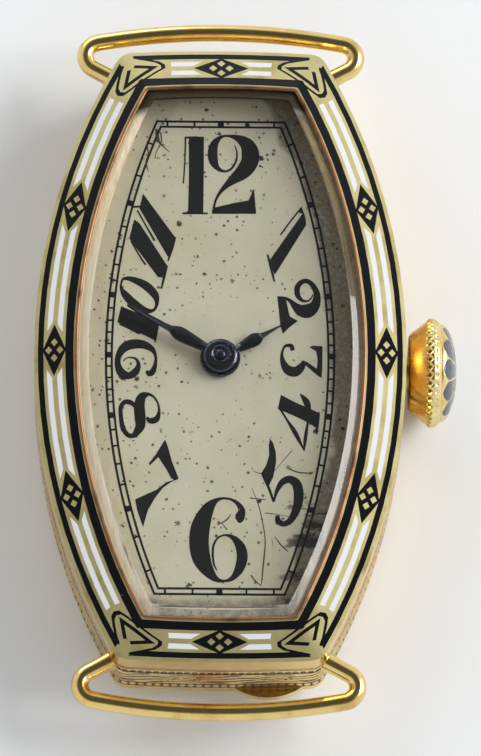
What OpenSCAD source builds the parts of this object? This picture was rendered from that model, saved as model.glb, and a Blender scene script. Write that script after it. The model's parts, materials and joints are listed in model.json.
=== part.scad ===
// Lady's dress wristwatch: a long barrel-shaped case with an enamelled bezel and wire lugs.
// +X points to 3 o'clock and the crown, +Y to 12 o'clock, +Z out of the dial.
// The origin is the middle of the case back's flat, which the watch lies on.

/* [Case] */
// Width of the case at its widest place, from 9 to 3 o'clock
case_w = 18; // [17.4:0.1:19]
// Length of the case from 12 to 6 o'clock, without the lugs
case_l = 31.3; // [30.8:0.1:33]
// Radius of each bowed flank
side_r = 31.6; // [30:0.2:34]
// Radius of the four corners
corner_r = 0.95; // [0.5:0.05:1.3]
// How far each end bows outwards
end_bow = 0.12; // [0:0.02:0.3]
// Depth of the domed part of the case back
back_dome_h = 0.9; // [0.7:0.05:1.2]
// Height of the upright edge of the case back
back_edge_h = 0.5; // [0.45:0.05:0.7]
// Thickness of the case back's sheet
back_t = 0.42; // [0.3:0.02:0.5]
// Height of the engraved band
band_h = 2.8; // [2.7:0.05:3.2]
// Wall of the band
band_wall = 0.8; // [0.7:0.05:0.9]
// Height of the bezel's upright side
bezel_side_h = 1.15; // [1:0.05:1.4]
// Rise of the bezel's face from its outer to its inner edge
bezel_rise = 0.4; // [0.2:0.05:0.6]
// Width of the bezel's face
bezel_w = 2.1; // [2:0.05:2.3]
// Height of the snap lips of the band
lip_h = 0.3; // [0.2:0.05:0.35]
// Clearance of the snap fits
snap_fit = 0.03; // [0.01:0.01:0.06]

/* [Enamel] */
// Depth of the enamel
enamel_t = 0.15; // [0.1:0.01:0.25]
// Gold edge outside the outer black line
edge_w = 0.18; // [0.12:0.02:0.26]
// Width of the outer black line
outer_line_w = 0.27; // [0.2:0.01:0.32]
// Width of the inner black line
inner_line_w = 0.4; // [0.3:0.02:0.44]
// Gold rim inside the inner black line
rim_w = 0.2; // [0.14:0.02:0.26]
// Half length of a diamond along the bezel
diamond_half = 1.3; // [1:0.02:1.4]
// Angle of the upper and lower diamonds about the flank's centre
diamond_a = 14.1; // [12:0.1:16]
// Width of a white bar
bar_w = 0.25; // [0.18:0.01:0.3]

/* [Crystal and dial] */
// Width of the crystal's bevel
crystal_bevel = 0.65; // [0.5:0.05:1.2]
// Thickness of the crystal in its middle
crystal_t = 0.7; // [0.5:0.05:0.8]
// Clearance round the crystal
crystal_fit = 0.02; // [0.01:0.01:0.04]
// Thickness of the dial
dial_t = 0.35; // [0.25:0.05:0.4]
// Radius of the dial's centre hole
dial_hole_r = 0.75; // [0.7:0.01:0.9]
// Radius of a dial foot
foot_r = 0.25; // [0.2:0.01:0.3]

/* [Hands] */
// Length of the minute hand from the centre
minute_len = 5.2; // [4.6:0.1:5.6]
// Length of the hour hand from the centre
hour_len = 3.7; // [3:0.05:4]
// Thickness of a hand
hand_t = 0.11; // [0.08:0.01:0.14]
// Radius of the minute hand's boss
minute_boss_r = 0.84; // [0.7:0.01:0.9]
// Radius of the hour hand's boss
hour_boss_r = 0.97; // [0.9:0.01:1.1]
// Direction of the minute hand, in degrees from 3 o'clock
minute_a = 150.4; // [0:0.2:360]
// Direction of the hour hand, in degrees from 3 o'clock
hour_a = 30.2; // [0:0.2:360]

/* [Crown and stem] */
// Radius of the crown over its flutes
crown_r = 2.7; // [2.4:0.02:2.72]
// Length of the crown's smooth base
crown_base_l = 0.87; // [0.7:0.01:1]
// Length of the fluted ring
crown_ring_l = 0.87; // [0.7:0.01:1.1]
// Height of the enamelled cap
crown_cap_l = 0.6; // [0.4:0.02:0.8]
// Number of flutes round the crown
crown_flutes = 40; // [30:1:46]
// Gap between the crown and the case
crown_gap = 0.17; // [0.12:0.01:0.3]
// How far the crown pulls out to set the hands
crown_travel = 0.5; // [0.4:0.05:0.55]
// Radius of the winding stem
stem_r = 0.4; // [0.36:0.01:0.42]
// Running clearance of the turning parts
run_fit = 0.03; // [0.02:0.01:0.05]

/* [Lugs] */
// Radius of the lug wire
wire_r = 0.42; // [0.36:0.01:0.46]
// Distance from the case's end to the middle of a lug bar
lug_out = 1.95; // [1.8:0.05:2.4]
// Half the width of the hoop, to the wire's axis
lug_half_w = 6.65; // [6.3:0.05:6.8]
// Radius of the hoop's two bends
bend_r = 0.75; // [0.6:0.05:0.9]
// How far the bar's ends lie nearer the case than its middle
lug_bow = 0.55; // [0.5:0.05:0.9]
// Height of the wire's axis above the table
lug_z = 3.3; // [3:0.05:3.6]

/* [Movement] */
// Thickness of the main plate
plate_t = 1.6; // [1.55:0.05:1.65]
// Thickness of the bridges
bridge_t = 0.6; // [0.55:0.05:0.65]
// Thickness of a train wheel
wheel_t = 0.13; // [0.1:0.01:0.14]
// Radius of an arbor
arbor_r = 0.15; // [0.12:0.01:0.18]
// Radius of a pivot
pivot_r = 0.08; // [0.06:0.01:0.09]
// Radius of a jewel
jewel_r = 0.42; // [0.36:0.01:0.44]
// Radius of a screw's shank
shank_r = 0.2; // [0.16:0.01:0.22]
// Radius of a screw's head
head_r = 0.45; // [0.36:0.01:0.48]
// Radius of the balance's rim
balance_r = 3.25; // [3:0.05:3.3]

/* [Hidden] */

$fn = 48;
eps = 0.01;
// How far a cut runs past the work
over = 1;

// Heights, from the table up
z_edge = back_dome_h;
z_band = z_edge + back_edge_h;
z_bezel = z_band + band_h;
z_face = z_bezel + bezel_side_h;
z_dial = z_bezel - 0.25;
plate_gap = 0.05;
z_plate1 = z_dial - plate_gap;
z_plate0 = z_plate1 - plate_t;
bridge_gap = 0.3;
z_bridge1 = z_plate0 - bridge_gap;
z_bridge0 = z_bridge1 - bridge_t;
ratchet_t = 0.27;
ratchet_sink = 0.05;
z_ratchet = z_bridge0 + ratchet_sink;
z_ratchet1 = z_ratchet + ratchet_t;
z_well = z_plate0 + 0.65;
z_drum = z_plate0 + 1.1;
z_motion = z_plate1 - 0.3;

// Levels of the train wheels
level_gap = 0.05;
z_center = z_bridge1 + level_gap;
z_fourth = z_plate0 - 0.02;
z_barrel = z_plate0 + 0.15;
barrel_flange_t = 0.2;
z_third = z_barrel + barrel_flange_t + 0.08;
z_escape = z_plate0 + 0.3;
z_minute = z_motion + 0.02;
minute_t = 0.1;
z_hour = z_minute + minute_t + 0.04;
z_hour_hand = z_dial + dial_t + 0.15;
z_minute_hand = z_hour_hand + hand_t + 0.16;

// Outline of the case: a bowed flank, a round corner that is tangent to it, and a bowed end
side_cx = case_w / 2 - side_r;
side_steps = 10;
corner_steps = 4;
end_steps = 3;
least_corner = 0.15;

function flank_x(r, y) = side_cx + sqrt(r * r - y * y);
function corner_rad(inset) = max(corner_r - inset, least_corner);
function corner_at(inset) = let (r = corner_rad(inset), y = case_l / 2 - inset - r)
  [flank_x(side_r - inset - r, y), y];
function corner_a(inset) = let (c = corner_at(inset)) atan2(c[1], c[0] - side_cx);
function quarter(inset) = let (a1 = corner_a(inset)) concat(
  [for (k = [0:side_steps]) let (a = a1 * k / side_steps)
    [side_cx + (side_r - inset) * cos(a), (side_r - inset) * sin(a)]],
  [for (k = [1:corner_steps]) let (a = a1 + (90 - a1) * k / corner_steps)
    corner_at(inset) + corner_rad(inset) * [cos(a), sin(a)]],
  [for (k = [1:end_steps - 1]) let (s = 1 - k / end_steps)
    [corner_at(inset)[0] * s, case_l / 2 - inset + end_bow * (1 - s * s)]]);
function outline_points(inset) =
  let (q = quarter(inset), n = len(q), tip = case_l / 2 - inset + end_bow)
  concat(q, [[0, tip]], [for (k = [n - 1:-1:1]) [-q[k][0], q[k][1]]],
    [for (k = [0:n - 1]) -q[k]], [[0, -tip]], [for (k = [n - 1:-1:1]) [q[k][0], -q[k][1]]]);

module outline(inset) {
  polygon(outline_points(inset));
}

module slab(inset, z0, z1) {
  translate([0, 0, z0]) linear_extrude(z1 - z0) outline(inset);
}

module ring(inset_out, inset_in, z0, z1) {
  translate([0, 0, z0]) linear_extrude(z1 - z0) difference() {
    outline(inset_out);
    outline(inset_in);
  }
}

module at(p, z = 0) {
  translate([p[0], p[1], z]) children();
}

module disc(p, r, z0, z1) {
  at(p, z0) cylinder(r = r, h = z1 - z0);
}

// Insets of the case's parts from the outer outline
band_inset = 0.05;
band_inner = band_inset + band_wall;
lip_out = 0.5;
plate_inset = band_inner + 0.1;
ledge_inset = band_inner + 0.4;
bridge_inset = ledge_inset + 0.05;
ledge_t = 0.3;

// Places of the movement's centres, each worked out from its gears
barrel_teeth = 72;
barrel_m = 0.145;
center_pinion_teeth = 12;
barrel_p = [0, barrel_m * (barrel_teeth + center_pinion_teeth) / 2];
center_teeth = 64;
center_m = 0.1;
pinion_teeth = 8;
third_a = 210.5;
third_p = center_m * (center_teeth + pinion_teeth) / 2 * [cos(third_a), sin(third_a)];
third_teeth = 60;
third_m = 0.09;
fourth_a = -45;
fourth_p = third_p + third_m * (third_teeth + pinion_teeth) / 2 * [cos(fourth_a), sin(fourth_a)];
fourth_teeth = 70;
fourth_m = 0.075;
escape_pinion_teeth = 7;
escape_a = -20;
escape_p = fourth_p + fourth_m * (fourth_teeth + escape_pinion_teeth) / 2 * [cos(escape_a), sin(escape_a)];
escape_teeth = 15;
escape_r = 2;
pallet_a = -108.9;
pallet_d = escape_r / cos(30);
pallet_p = escape_p + pallet_d * [cos(pallet_a), sin(pallet_a)];
fork_l = 2.4;
balance_p = pallet_p + fork_l * [cos(pallet_a), sin(pallet_a)];

winding_m = 0.2;
crown_wheel_teeth = 28;
ratchet_teeth = 43;
winding_d = winding_m * (crown_wheel_teeth + ratchet_teeth) / 2;
crown_wheel_p = [sqrt(winding_d * winding_d - barrel_p[1] * barrel_p[1]), 0];
ratchet_a = atan2(barrel_p[1] - crown_wheel_p[1], barrel_p[0] - crown_wheel_p[0]);

motion_d = 2.4;
cannon_teeth = 12;
minute_teeth = 36;
motion_m = 2 * motion_d / (cannon_teeth + minute_teeth);
minute_pinion_teeth = 10;
hour_teeth = 40;
hour_m = 2 * motion_d / (minute_pinion_teeth + hour_teeth);
motion_a = -30;
minute_p = motion_d * [cos(motion_a), sin(motion_a)];
setting_teeth = 14;
setting_a = 35;
setting_p = minute_p + motion_m * (minute_teeth + setting_teeth) / 2 * [cos(setting_a), sin(setting_a)];

// Stem line
stem_z = z_plate0 + 0.45;
winding_pinion_teeth = 10;
winding_pinion_r = stem_z - z_ratchet1 + 0.05;
tooth_add = 0.9;
tooth_ded = 1.15;
winding_pinion_m = winding_pinion_r / (winding_pinion_teeth / 2 + tooth_add);
winding_pinion_x = crown_wheel_p[0] + winding_m * crown_wheel_teeth / 2 - 0.55;
winding_pinion_l = 0.95;
sliding_pinion_r = 0.75;
sliding_pinion_l = 1.3;
sliding_pinion_x = winding_pinion_x - sliding_pinion_l - 0.05;
clutch_travel = 0.5;
square_half = 0.26;
pocket_half = winding_pinion_r + 0.06;
pocket_x = sliding_pinion_x - clutch_travel - 0.1;
pilot_r = 0.22;
pilot_l = 0.9;
crown_x = case_w / 2 + crown_gap;
tube_r = 0.8;
tube_x = crown_x + 0.7;
groove_x = winding_pinion_x + winding_pinion_l + 0.25;
groove_w = 0.34;
groove_r = 0.25;
nib_room = groove_w + crown_travel + 0.2;

// Gears: a tooth has four corners, and pitch radius is module times teeth over two
function tooth_points(n, m, phase) =
  [for (k = [0:n - 1]) for (t = [[-0.3, -tooth_ded], [-0.13, tooth_add], [0.13, tooth_add], [0.3, -tooth_ded]])
    let (a = phase + (k + t[0]) * 360 / n) m * (n / 2 + t[1]) * [cos(a), sin(a)]];
// Phase at which a wheel meshes with one of n1 teeth at phase p1 that lies towards a
function mesh(n1, p1, n2, a) = a + 180 + (180 - n1 * (p1 - a)) / n2;

center_phase = 0;
barrel_phase = mesh(center_pinion_teeth, center_phase, barrel_teeth, 90);
third_phase = mesh(center_teeth, center_phase, pinion_teeth, third_a);
fourth_phase = mesh(third_teeth, third_phase, pinion_teeth, fourth_a);
escape_phase = mesh(fourth_teeth, fourth_phase, escape_pinion_teeth, escape_a);
crown_wheel_phase = 180 / crown_wheel_teeth;
ratchet_phase = mesh(crown_wheel_teeth, crown_wheel_phase, ratchet_teeth, ratchet_a);
minute_phase = mesh(cannon_teeth, 0, minute_teeth, motion_a);
hour_phase = mesh(minute_pinion_teeth, minute_phase, hour_teeth, motion_a + 180);
setting_phase = mesh(minute_teeth, minute_phase, setting_teeth, setting_a);

function tip_r(n, m) = m * (n / 2 + tooth_add);

module gear(p, n, m, phase, z0, t) {
  at(p, z0) linear_extrude(t) polygon(tooth_points(n, m, phase));
}

// A train wheel: a toothed rim on four arms
module wheel(p, n, m, phase, z0, t, hub_r) {
  rim_r = m * (n / 2 - 3);
  window_r = (rim_r - hub_r) / 2;
  difference() {
    gear(p, n, m, phase, z0, t);
    for (k = [0:4])
      at(p, z0 - eps) rotate([0, 0, phase + 72 * k])
        translate([(rim_r + hub_r) / 2, 0, 0]) cylinder(r = window_r * 0.9, h = t + 2 * eps);
  }
}

// An upright arbor between two faces, with a pivot at each end
pivot_l = 0.26;
end_shake = 0.02;
module arbor(p, r, z0, z1) {
  disc(p, r, z0 + end_shake, z1 - end_shake);
  disc(p, pivot_r, z0 - pivot_l, z1 + pivot_l);
}

function bezel_z(inset) = z_face + bezel_rise * inset / bezel_w;

// The bezel without its opening: upright side and a face that rises inwards
module bezel_blank(drop) {
  inner = bezel_w + 0.2;
  hull() {
    slab(0, z_bezel, z_face - drop);
    slab(inner, bezel_z(inner) - drop - eps, bezel_z(inner) - drop);
  }
}

// Pattern on the bezel, drawn flat
line_in = bezel_w - rim_w;
field_out = edge_w + outer_line_w;
field_in = line_in - inner_line_w;
field_mid = (field_out + field_in) / 2;
field_half = (field_in - field_out) / 2;
cell_half_w = 0.17;
cell_half_l = 0.2;
cell_across = 0.27;
cell_along = 0.4;

module place_on_flank(a) {
  translate([side_cx, 0]) rotate(a) translate([side_r - field_mid, 0]) children();
}

module at_diamonds() {
  for (s = [0, 1]) mirror([s, 0]) {
    for (a = [-diamond_a, 0, diamond_a]) place_on_flank(a) children();
  }
  for (s = [0, 1]) mirror([0, s]) translate([0, case_l / 2 + end_bow - field_mid]) rotate(90) children();
}

module lozenges(half_w, half_h, grow) {
  polygon([[half_w + grow, 0], [0, half_h + grow], [-half_w - grow, 0], [0, -half_h - grow]]);
}

module diamond_2d() {
  difference() {
    lozenges(field_half, diamond_half, 0.04);
    for (s = [-1, 1]) {
      translate([0, s * cell_along]) lozenges(cell_half_w, cell_half_l, 0);
      translate([s * cell_across, 0]) lozenges(cell_half_w, cell_half_l, 0);
    }
  }
}

// A corner ornament: a rounded triangle drawn in a thin line, and an open triangle of thick bars in it.
// Its points are offsets from the corner of the field's middle line, for the corner at +X +Y.
function sharp_at(inset) = let (y = case_l / 2 - inset) [flank_x(side_r - inset, y), y];
loop_points = [[0.01, 0.74], [-0.64, 0.62], [-1.23, 0.5], [-1.52, 0.32], [-1.55, 0.12], [-1.18, -0.12],
  [-0.39, -0.7], [0.14, -1.14], [0.53, -1.42], [0.79, -1.38], [0.9, -1.15], [0.83, -0.68], [0.73, -0.2],
  [0.59, 0.22], [1.51, 1.6]];
loop_middle = [-0.17, -0.03];
loop_scale = 0.85;
bar_triangle = [[0.26, 0.28], [-1.21, 0.22], [0.53, -1.12]];
bar_middle = [-0.08, -0.14];
bar_scale = 0.58;
bar_opening = 0.3;
line_break = 0.34;

module each_corner() {
  for (sx = [0, 1]) mirror([sx, 0])
    for (sy = [0, 1]) mirror([0, sy]) children();
}

module shrunk(middle, factor) {
  translate(middle) scale(factor) translate(-middle) children();
}

module corner_2d() {
  difference() {
    polygon(loop_points);
    shrunk(loop_middle, loop_scale) polygon(loop_points);
    polygon([loop_points[0], loop_points[len(loop_points) - 2], [1.6, 0], [1.6, 1.6], [0, 1.6]]);
  }
  difference() {
    polygon(bar_triangle);
    shrunk(bar_middle, bar_scale) polygon(bar_triangle);
    translate(bar_triangle[0]) circle(r = bar_opening, $fn = 12);
  }
}

module black_2d() {
  difference() {
    outline(edge_w);
    outline(field_out);
    each_corner() translate(sharp_at(field_mid)) polygon(loop_points);
  }
  difference() {
    outline(field_in);
    outline(line_in);
    each_corner() translate(sharp_at((field_in + line_in) / 2)) circle(r = line_break, $fn = 12);
  }
  at_diamonds() diamond_2d();
  each_corner() translate(sharp_at(field_mid)) corner_2d();
}

bar_gap = 0.3;
bar_start = 1.85;
module white_2d() {
  difference() {
    union() {
      for (inset = [field_mid - bar_w / 2 - 0.12, field_mid + bar_w / 2 + 0.12]) difference() {
        outline(inset - bar_w / 2);
        outline(inset + bar_w / 2);
      }
    }
    at_diamonds() lozenges(field_half * 1.15, diamond_half, bar_gap);
    each_corner() translate(sharp_at(field_mid)) circle(r = bar_start, $fn = 24);
  }
}

module face_layer(depth) {
  difference() {
    bezel_blank(0);
    bezel_blank(depth);
  }
}

module inlay(depth) {
  intersection() {
    face_layer(depth);
    translate([0, 0, z_face - 2]) linear_extrude(4) children();
  }
}

module bezel() {
  color("goldenrod") difference() {
    bezel_blank(0);
    slab(bezel_w, z_bezel - over, z_face + 2);
    slab(lip_out - snap_fit, z_bezel - over, z_bezel + lip_h + 2 * snap_fit);
    inlay(enamel_t) black_2d();
    inlay(enamel_t) white_2d();
  }
}

module black_enamel() {
  color("black") inlay(enamel_t) black_2d();
}

module white_enamel() {
  color("white") inlay(enamel_t) white_2d();
}

// The crystal sits in the bezel's opening and is bevelled all round
module crystal() {
  inset = bezel_w + crystal_fit;
  z_top = bezel_z(bezel_w) + 0.15;
  color("lightcyan", 0.3) hull() {
    slab(inset, z_top - crystal_t, z_top - 0.35);
    slab(inset + crystal_bevel, z_top - eps, z_top);
  }
}

module case_band() {
  color("goldenrod") difference() {
    union() {
      ring(band_inset, band_inner, z_band, z_bezel);
      ring(lip_out, band_inner, z_band - lip_h, z_bezel + lip_h);
      ring(band_inner, ledge_inset, z_plate0 - ledge_t, z_plate0);
      for (s = [-1, 1]) intersection() {
        slab(band_inner, z_plate0 - ledge_t, z_plate0);
        translate([-1.2, s * case_screw_y - 0.7, z_band]) cube([2.4, 1.4, band_h]);
      }
    }
    translate([case_w / 2 - 3, 0, stem_z]) rotate([0, 90, 0]) cylinder(r = tube_r, h = 4);
    for (s = [-1, 1]) disc([0, s * case_screw_y], shank_r + run_fit, z_plate0 - over, z_plate0 + 0.1);
    lug_legs(1);
    lug_legs(-1);
  }
}

case_screw_y = case_l / 2 - ledge_inset - 0.25;
module case_screws() {
  color("steelblue") for (s = [-1, 1])
    screw([0, s * case_screw_y], z_plate0 - ledge_t, 1.1, head_r - 0.05);
}

// A cheese-head screw whose head hangs below height z and whose shank goes up into the work
head_t = 0.2;
slot_w = 0.1;
module screw(p, z, length, r) {
  difference() {
    union() {
      disc(p, r, z - head_t, z);
      disc(p, shank_r, z - eps, z + length);
    }
    at(p, z - head_t - eps) translate([-1, -slot_w / 2, 0]) cube([2, slot_w, 0.08]);
  }
}

// A domed sheet with a flat middle, an upright edge and a thumbnail lip
flat_inset = 3.4;
lip_out_by = 0.6;
lip_r = 2.85;
lip_p = [2.35, -case_l / 2 + band_inset - lip_out_by + lip_r];
module case_back() {
  color("goldenrod") {
    difference() {
      union() {
        hull() {
          slab(band_inset, z_edge, z_edge + eps);
          slab(band_inset + 1.1, z_edge * 0.38, z_edge * 0.38 + eps);
          slab(flat_inset, 0, eps);
        }
        slab(band_inset, z_edge, z_band);
        intersection() {
          disc(lip_p, lip_r, z_edge + 0.1, z_band);
          translate([0, -case_l / 2 - 1, 0]) cube([case_w / 2, 1.6, z_band]);
        }
      }
      hull() {
        slab(lip_out - snap_fit, z_edge, z_edge + eps);
        slab(band_inset + 1.5, back_t + 0.2, back_t + 0.21);
        slab(flat_inset, back_t, back_t + eps);
      }
      slab(lip_out - snap_fit, z_edge, z_band + over);
    }
  }
}

// A hoop of round wire: two legs from the band's corners, two bends and a bowed bar. A bead hides each seam.
lug_reach = case_l / 2 + lug_out;
bend_x = lug_half_w - bend_r;
bow_r = (bend_x * bend_x + lug_bow * lug_bow) / (2 * lug_bow);
bow_a = asin(bend_x / (bow_r - bend_r));
bend_p = [bend_x, lug_reach - bow_r + (bow_r - bend_r) * cos(bow_a)];
leg_foot = corner_at(band_inset) + [0.66, 0.2];
leg_d = norm(bend_p - leg_foot);
leg_a = atan2(bend_p[1] - leg_foot[1], bend_p[0] - leg_foot[0]) - asin(bend_r / leg_d);
leg_l = sqrt(leg_d * leg_d - bend_r * bend_r);
leg_root = 0.6;
leg_sink = 0.35;
seam = 0.03;
bead_r = wire_r + 0.02;

module lug_ends(side) {
  mirror([0, side > 0 ? 0 : 1, 0])
    for (s = [0, 1]) mirror([s, 0, 0]) children();
}

module wire_arc(centre, r, a0, a1) {
  seam_a = seam * 180 / (PI * r);
  at(centre, lug_z) rotate([0, 0, a0 + seam_a])
    rotate_extrude(angle = a1 - a0 - 2 * seam_a) translate([r, 0]) circle(r = wire_r);
}

module bead(point, heading) {
  at(point, lug_z) rotate([0, 90, heading]) sphere(r = bead_r);
}

module lug_legs(side) {
  difference() {
    lug_ends(side) at(leg_foot, lug_z) rotate([0, 90, leg_a])
      translate([0, 0, -leg_root]) cylinder(r = wire_r, h = leg_root + leg_l - seam);
    slab(band_inset + leg_sink, z_band - over, z_bezel + over);
  }
}

module lug(side) {
  color("gold") {
    lug_legs(side);
    lug_ends(side) {
      wire_arc(bend_p, bend_r, leg_a - 90, 90 - bow_a);
      bead(leg_foot + leg_l * [cos(leg_a), sin(leg_a)], leg_a);
      bead(bend_p + bend_r * [sin(bow_a), cos(bow_a)], -bow_a);
    }
    mirror([0, side > 0 ? 0 : 1, 0]) wire_arc([0, lug_reach - bow_r], bow_r, 90 - bow_a, 90 + bow_a);
  }
}

module lug_top() {
  lug(1);
}

module lug_bottom() {
  lug(-1);
}

module stem_tube() {
  color("goldenrod") translate([case_w / 2 - band_inner, 0, stem_z]) rotate([0, 90, 0]) difference() {
    cylinder(r = tube_r, h = tube_x - case_w / 2 + band_inner);
    translate([0, 0, -eps]) cylinder(r = stem_r + run_fit, h = 4);
  }
}

feet = [[-5.3, 9.2], [5.2, -8.2]];
foot_l = 0.6;
module dial() {
  color("silver") {
    difference() {
      slab(plate_inset, z_dial, z_dial + dial_t);
      disc([0, 0], dial_hole_r, z_dial - over, z_dial + over);
    }
    for (p = feet) disc(p, foot_r, z_dial - foot_l, z_dial + eps);
  }
}

cannon_r = 0.32;
hour_tube_r = 0.6;
press_fit = 0.01;
boss_t = 0.12;
hub_ring_r = 0.52;

// A hand along +X: a thin shaft that swells into a leaf and ends in a point, on a round boss
module hand(length, leaf_w, leaf_at, boss_r, z) {
  translate([0, 0, z]) {
    cylinder(r = boss_r, h = hand_t);
    linear_extrude(hand_t)
      polygon([[boss_r * 0.9, 0.16], [leaf_at - 0.9, 0.13], [leaf_at - 0.25, leaf_w], [leaf_at + 0.1, leaf_w * 0.8],
        [leaf_at + 0.6, 0.12], [length, 0.04], [length, -0.04], [leaf_at + 0.6, -0.12],
        [leaf_at + 0.1, -leaf_w * 0.8], [leaf_at - 0.25, -leaf_w], [leaf_at - 0.9, -0.13], [boss_r * 0.9, -0.16]]);
  }
}

module hour_hand() {
  color("midnightblue") difference() {
    rotate([0, 0, hour_a]) hand(hour_len, 0.4, hour_len - 1.2, hour_boss_r, z_hour_hand);
    disc([0, 0], hour_tube_r, z_hour_hand - over, z_hour_hand + over);
  }
}

// The minute hand has a stepped round boss that hides the cannon pinion's end
module minute_hand() {
  z_ring = z_minute_hand + hand_t;
  color("midnightblue") difference() {
    union() {
      rotate([0, 0, minute_a]) hand(minute_len, 0.36, minute_len - 1.6, minute_boss_r, z_minute_hand);
      disc([0, 0], hub_ring_r, z_ring - eps, z_ring + boss_t);
    }
    disc([0, 0], cannon_r + press_fit, z_minute_hand - over, z_minute_hand + over);
  }
}

center_post_r = 0.15;
module cannon_pinion() {
  color("silver") difference() {
    union() {
      gear([0, 0], cannon_teeth, motion_m, 0, z_minute, minute_t + 0.02);
      disc([0, 0], cannon_r, z_minute, z_minute_hand + hand_t + boss_t + 0.02);
    }
    disc([0, 0], center_post_r + run_fit, z_motion - over, z_minute_hand + over);
  }
}

minute_post_r = 0.16;
module minute_wheel() {
  color("gold") difference() {
    union() {
      gear(minute_p, minute_teeth, motion_m, minute_phase, z_minute, minute_t);
      gear(minute_p, minute_pinion_teeth, hour_m, minute_phase, z_minute, z_hour + minute_t - z_minute);
    }
    disc(minute_p, minute_post_r + run_fit, z_motion - over, z_plate1 + over);
  }
}

module hour_wheel() {
  color("gold") difference() {
    union() {
      gear([0, 0], hour_teeth, hour_m, hour_phase, z_hour, minute_t);
      disc([0, 0], hour_tube_r, z_hour, z_hour_hand + hand_t);
    }
    disc([0, 0], cannon_r + run_fit, z_motion - over, z_minute_hand + over);
  }
}

setting_post_r = 0.2;
module setting_wheel() {
  color("silver") difference() {
    gear(setting_p, setting_teeth, motion_m, setting_phase, z_minute, minute_t);
    disc(setting_p, setting_post_r + run_fit, z_motion - over, z_plate1 + over);
  }
}

// Wells that the plate leaves for the wheels
well_room = 0.15;
barrel_well_r = tip_r(barrel_teeth, barrel_m) + well_room;
center_well_r = tip_r(center_teeth, center_m) + well_room;
third_well_r = tip_r(third_teeth, third_m) + well_room;
fourth_well_r = tip_r(fourth_teeth, fourth_m) + well_room;
escape_well_r = escape_r + well_room + 0.05;
gear_room = 0.08;
ratchet_well_r = tip_r(ratchet_teeth, winding_m) + gear_room;
crown_well_r = tip_r(crown_wheel_teeth, winding_m) + gear_room;
minute_well_r = tip_r(minute_teeth, motion_m) + gear_room;
setting_well_r = tip_r(setting_teeth, motion_m) + gear_room;
hour_well_r = tip_r(hour_teeth, hour_m) + gear_room;
center_pinion_well_r = 1.15;
fork_well_r = 1.7;
roller_well_r = 1.2;
module train_wells(z0, z1) {
  disc(third_p, third_well_r, z0, z1);
  disc(fourth_p, fourth_well_r, z0, z1);
  disc(escape_p, escape_well_r, z0, z1);
  disc(pallet_p, fork_well_r, z0, z1);
  disc(balance_p, roller_well_r, z0, z1);
}

pallet_a2 = pallet_a + 90;
pallet_foot = pallet_p + 2.25 * [cos(pallet_a2), sin(pallet_a2)];
cock_foot = [-4.8, -7.7];
barrel_screws = [[-6.3, 1.2], [6.1, 4.7], [2.4, 12.6]];
train_screws = [[-6.5, -3.9], [5.1, -5.2]];
jewel_t = 0.3;
jewel_holes = [third_p, fourth_p, escape_p, pallet_p, balance_p];
lever_p = [6.55, 2.75];
yoke_p = [6.2, -3.3];
z_keyless = z_plate1 - 0.38;
keyless_t = 0.16;
keyless_post_r = 0.25;

module main_plate() {
  color("gold") {
    difference() {
      slab(plate_inset, z_plate0, z_plate1);
      train_wells(z_plate0 - 1, z_well);
      disc(barrel_p, barrel_well_r, z_plate0 - over, z_drum);
      disc([0, 0], center_pinion_well_r, z_plate0 - over, z_plate0 + 0.55);
      disc(barrel_p, barrel_pivot_r + run_fit, z_plate0, z_plate1 + over);
      disc([0, 0], center_r + run_fit, z_plate0, z_plate1 + over);
      for (p = jewel_holes) {
        disc(p, jewel_r, z_well - eps, z_well + jewel_t);
        disc(p, pivot_r * 2, z_well, z_plate1 + over);
      }
      disc([0, 0], hour_well_r, z_motion, z_plate1 + over);
      disc(minute_p, minute_well_r, z_motion, z_plate1 + over);
      disc(setting_p, setting_well_r, z_motion, z_plate1 + over);
      translate([pocket_x, -pocket_half, z_plate0 - 1])
        cube([winding_pinion_x + winding_pinion_l + 0.05 - pocket_x, 2 * pocket_half, plate_t + 2]);
      translate([pocket_x - pilot_l - 0.1, 0, stem_z]) rotate([0, 90, 0])
        cylinder(r = pilot_r + run_fit, h = pilot_l + 0.2);
      translate([winding_pinion_x, 0, stem_z]) rotate([0, 90, 0]) cylinder(r = stem_r + run_fit, h = 5);
      keyless_pocket();
      for (p = feet) disc(p, foot_r + run_fit, z_dial - foot_l - 0.1, z_plate1 + over);
      for (p = concat(barrel_screws, train_screws, [cock_foot, pallet_foot]))
        disc(p, shank_r + run_fit, z_plate0 - over, z_plate0 + 0.9);
      for (s = [-1, 1]) disc([0, s * case_screw_y], shank_r + run_fit, z_plate0 - over, z_plate0 + 0.9);
      disc(balance_p, 0.9, z_plate0 - over, z_well);
    }
    disc(minute_p, minute_post_r, z_motion - eps, z_plate1);
    disc(setting_p, setting_post_r, z_motion - eps, z_plate1);
    disc(lever_p, keyless_post_r, z_keyless - eps, z_plate1 - 0.12);
    disc(yoke_p, keyless_post_r, z_keyless - eps, z_plate1 - 0.12);
  }
}

module keyless_pocket() {
  for (box = [[[winding_pinion_x - 0.3, 0], [7.7, 3.5]], [[sliding_pinion_x - 0.6, -4.7], [7.5, 0]]])
    translate([box[0][0], box[0][1], z_keyless])
      cube([box[1][0] - box[0][0], box[1][1] - box[0][1], 1]);
  translate([groove_x - 0.1, -0.3, z_keyless]) cube([nib_room, 1, 1]);
  translate([groove_x - 0.1, -0.3, stem_z]) cube([nib_room, 0.9, 1]);
}

// Region of the barrel bridge, and of the train bridge below the same line
split_y = -1.05;
split_x = 0.45;
split_low = -3.3;
split_gap = 0.06;
screw_room = 0.75;
train_end = -11;
module split_2d(side) {
  g = side * split_gap;
  x = case_w / 2;
  far = side > 0 ? case_screw_y - screw_room : train_end;
  polygon([[-x, split_y + g], [split_x + g, split_y + g], [split_x + g, split_low + g], [x, split_low + g],
    [x, far], [-x, far]]);
}

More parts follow.
